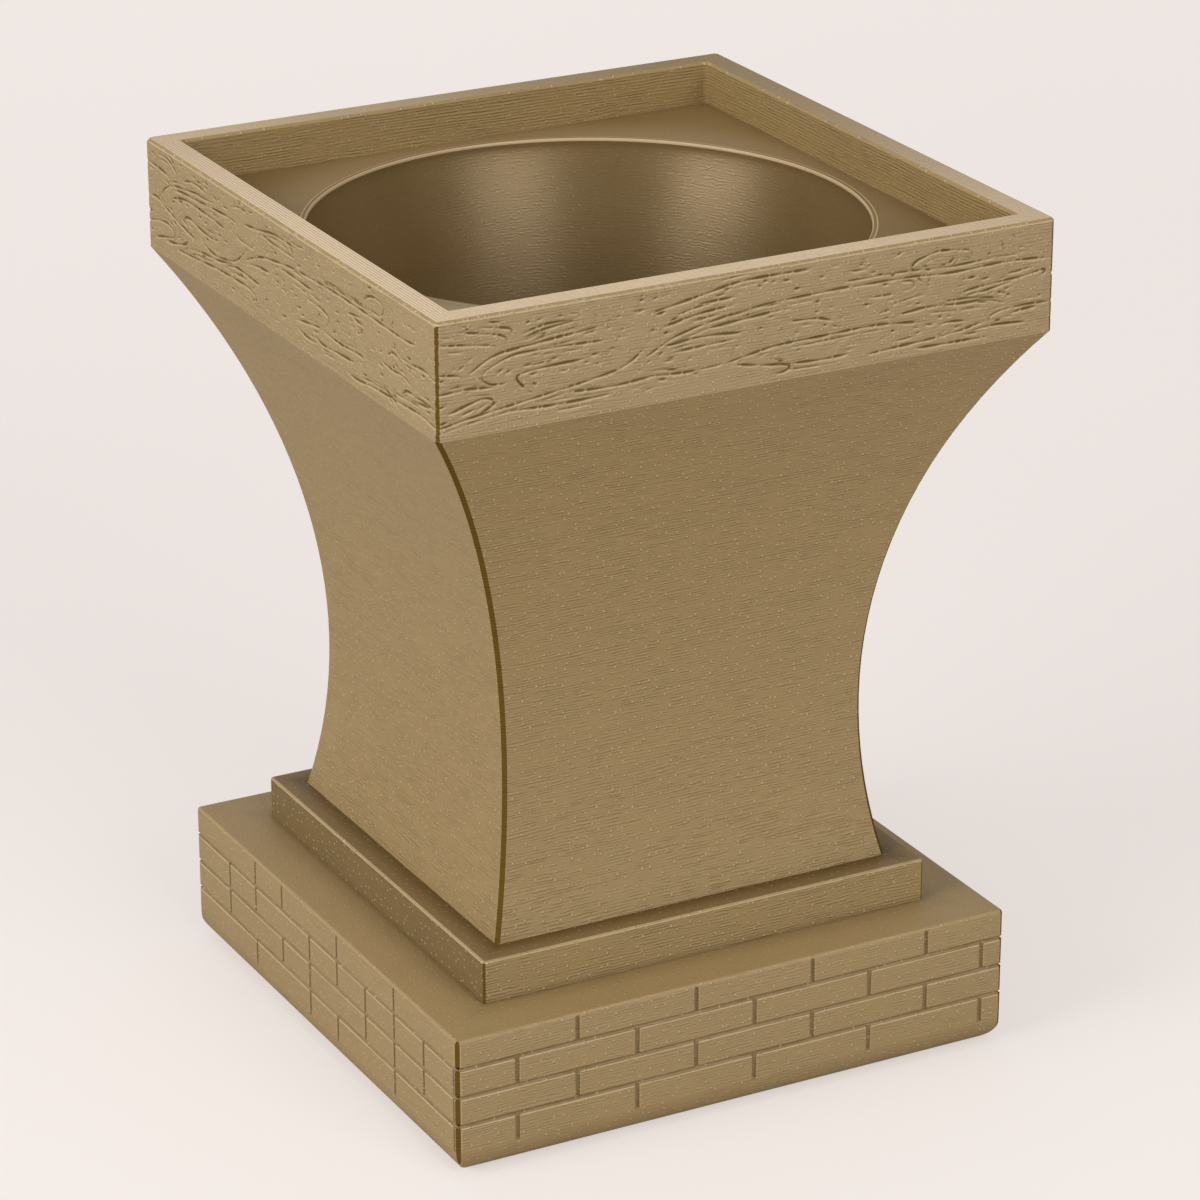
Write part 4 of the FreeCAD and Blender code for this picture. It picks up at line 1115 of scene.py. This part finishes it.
def eased_corner(before, corner, after, steps):
    """Places along a soft bend that stands for a corner."""
    shares = [step / steps for step in range(steps + 1)]
    return [tuple((1 - t) ** 2 * a + 2 * t * (1 - t) * b + t ** 2 * c
                  for a, b, c in zip(before, corner, after)) for t in shares]


def between(start, end, distance):
    """The place so far from one place towards another."""
    way = math.dist(start, end)
    return tuple(a + (b - a) * distance / way for a, b in zip(start, end))


def pot_profile():
    """Radii and heights round the pot's outline in mm, with its long bends eased."""
    profile = [(POT_FOOT_RING, POT_BOTTOM), (POT_WAIST, POT_BOTTOM)]
    profile += eased_side(POT_RIM, POT_SHOULDER, POT_WAIST, POT_KNEE)
    profile += [(POT_RIM, POT_TOP - RIM_EASE), (POT_RIM - RIM_EASE, POT_TOP)]
    mouth, inner_waist = POT_RIM - POT_WALL, POT_WAIST - POT_WALL
    across, down = MOUTH_EASE
    profile += eased_corner((mouth + across, POT_TOP), (mouth, POT_TOP), (mouth, POT_TOP - down),
                            MOUTH_STEPS)
    profile += eased_side(mouth, POT_SHOULDER, inner_waist, POT_KNEE)[::-1]
    profile += [(inner_waist, POT_FLOOR + FLOOR_CHAMFER), (inner_waist - FLOOR_CHAMFER, POT_FLOOR)]
    profile += [(POT_DRAIN, POT_FLOOR), (POT_DRAIN, POT_FLOOR - POT_FLOOR_THICKNESS)]
    profile += [(POT_FOOT_RING, POT_FLOOR - POT_FLOOR_THICKNESS)]
    return profile


def eased_side(rim, shoulder, waist, knee):
    """One side of the pot's wall from its waist up to its rim."""
    top, bend, foot = (rim, shoulder), (waist, knee), (waist, POT_BOTTOM)
    upper = (rim, shoulder + SHOULDER_EASE[0])
    return (eased_corner(between(bend, foot, KNEE_EASE), bend, between(bend, top, KNEE_EASE), EASE_STEPS)
            + eased_corner(between(top, bend, SHOULDER_EASE[1]), top, upper, EASE_STEPS))


def make_pot(material):
    """The lift-out pot, turned smoothly."""
    profile = np.array(pot_profile())
    angles = np.linspace(0, 2 * math.pi, POT_SIDES, endpoint=False)
    around = np.stack([np.cos(angles), np.sin(angles)], axis=1)
    flat = profile[:, None, :1] * around[None]
    heights = np.broadcast_to(profile[:, None, 1:], flat.shape[:2] + (1,))
    points = np.concatenate([flat, heights], axis=2).reshape(-1, 3)
    index = np.arange(len(profile) * POT_SIDES).reshape(len(profile), POT_SIDES)
    following, above = np.roll(index, -1, axis=1), np.roll(index, -1, axis=0)
    quads = np.stack([index, following, np.roll(above, -1, axis=1), above], axis=-1)
    mesh = grid_mesh("turned_pot", points * MM, quads.reshape(-1, 4))
    mesh.shade_smooth()
    mesh.set_sharp_from_angle(angle=math.radians(SHARP_ANGLE))
    mesh.materials.append(material)
    pot = add_object("turned_pot", mesh)
    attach(pot, "pot")
    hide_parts("planting_pot")


# The studio

def area_light(name, place, power):
    """A square soft lamp that faces the part's middle."""
    data = bpy.data.lights.new(name, "AREA")
    data.size = LAMP_SIZE
    data.energy = power
    data.color = STUDIO_WHITE
    light = add_object(name, data)
    light.location = place
    light.rotation_euler = (MIDDLE - place).to_track_quat("-Z", "Y").to_euler()


def make_world():
    """Pale all round to the camera and in reflections, and a weaker light on matt surfaces."""
    world = bpy.data.worlds.new("studio")
    world.use_nodes = True
    background = world.node_tree.nodes["Background"]
    background.inputs["Color"].default_value = (*STUDIO_WHITE, 1)
    rays = add_node(world, "LightPath").outputs
    matt = times_plus(world, rays["Is Glossy Ray"], REFLECTED - AMBIENT, AMBIENT)
    strength = calculate(world, "MAXIMUM", matt, rays["Is Camera Ray"])
    world.node_tree.links.new(strength, background.inputs["Strength"])
    bpy.context.scene.world = world


def make_lights():
    """Soft lamps at bearings and heights in degrees, all as far from the part."""
    for name, bearing, height, power in LAMPS:
        turn, rise = math.radians(bearing), math.radians(height)
        way = Vector((math.cos(turn) * math.cos(rise), math.sin(turn) * math.cos(rise), math.sin(rise)))
        area_light(name, MIDDLE + way * LAMP_DISTANCE, power)


def floor_material():
    """A pale warm floor with large soft blotches of painted shadow, and painted light that brightens it far
    off.
    """
    material, surface = new_material("pale_floor")
    place = add_node(material, "TexCoord").outputs["Object"]
    # Painted shadow blotches, and painted light far off
    shadow_blotches = noise(material, place, FLOOR_SHADOW_BLOTCHES, 2.0)
    toned = scaled(material, PALE, times_plus(material, shadow_blotches, *FLOOR_TONES))
    farness = stepped(material, measure(material, "DOT_PRODUCT", place, FAR_WAY), *FAR_REACH)
    lift = times_plus(material, farness, FAR_PAINTED_LIGHT, FLOOR_LIFT)
    seen = add_node(material, "LightPath").outputs["Is Camera Ray"]
    feed(surface, "Base Color", blend_colour(material, seen, FLOOR_BOUNCE, toned))
    feed(surface, "Emission Strength", times(material, seen, lift))
    surface.inputs["Emission Color"].default_value = (*PALE, 1)
    surface.inputs["Roughness"].default_value = 0.9
    surface.inputs["Specular IOR Level"].default_value = 0.1
    return material


def make_floor(level):
    bpy.ops.mesh.primitive_plane_add(size=FLOOR_SIZE, location=(0.0, 0.0, level))
    floor = bpy.context.object
    floor.name = "floor"
    dress(floor, floor_material())


def make_camera():
    data = bpy.data.cameras.new("camera")
    data.sensor_width = CAMERA_SENSOR
    data.lens = CAMERA_LENS
    data.clip_start = CAMERA_NEAR
    camera = add_object("camera", data)
    camera.location = CAMERA_PLACE
    aim = Vector(CAMERA_FORWARD).to_track_quat("-Z", "Y")
    roll = Euler((0.0, 0.0, math.radians(CAMERA_ROLL))).to_quaternion()
    camera.rotation_euler = (aim @ roll).to_euler()
    bpy.context.scene.camera = camera


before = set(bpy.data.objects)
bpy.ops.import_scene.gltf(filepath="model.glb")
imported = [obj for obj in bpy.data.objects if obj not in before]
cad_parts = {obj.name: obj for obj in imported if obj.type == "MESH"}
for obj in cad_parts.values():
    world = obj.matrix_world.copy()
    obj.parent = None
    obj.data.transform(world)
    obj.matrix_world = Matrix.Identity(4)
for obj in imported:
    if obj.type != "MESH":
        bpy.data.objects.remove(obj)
cad_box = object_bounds()
bpy.context.scene.view_settings.view_transform = "Standard"

bronze = column_material()
steel = metal_material("screw_steel", STEEL, roughness=0.32)
brass = metal_material("insert_brass", BRASS, roughness=0.3)
surfaces = {
    "brick_base": brick_material(),
    "step_plinth": step_material(),
    "column_shell": bronze,
    "drain_sleeve": bronze,
    "shelf_deck": shelf_material(),
    "base_screws": steel,
    "collar_screws": steel,
    "base_inserts": brass,
    "collar_inserts": brass,
}
for name, material in surfaces.items():
    dress(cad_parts[name], material)
ease_joints(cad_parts["brick_base"])

make_collar(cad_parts["collar_frame"], collar_material())
make_pot(pot_material())
make_world()
make_lights()
make_floor(cad_box[0].z)
make_camera()
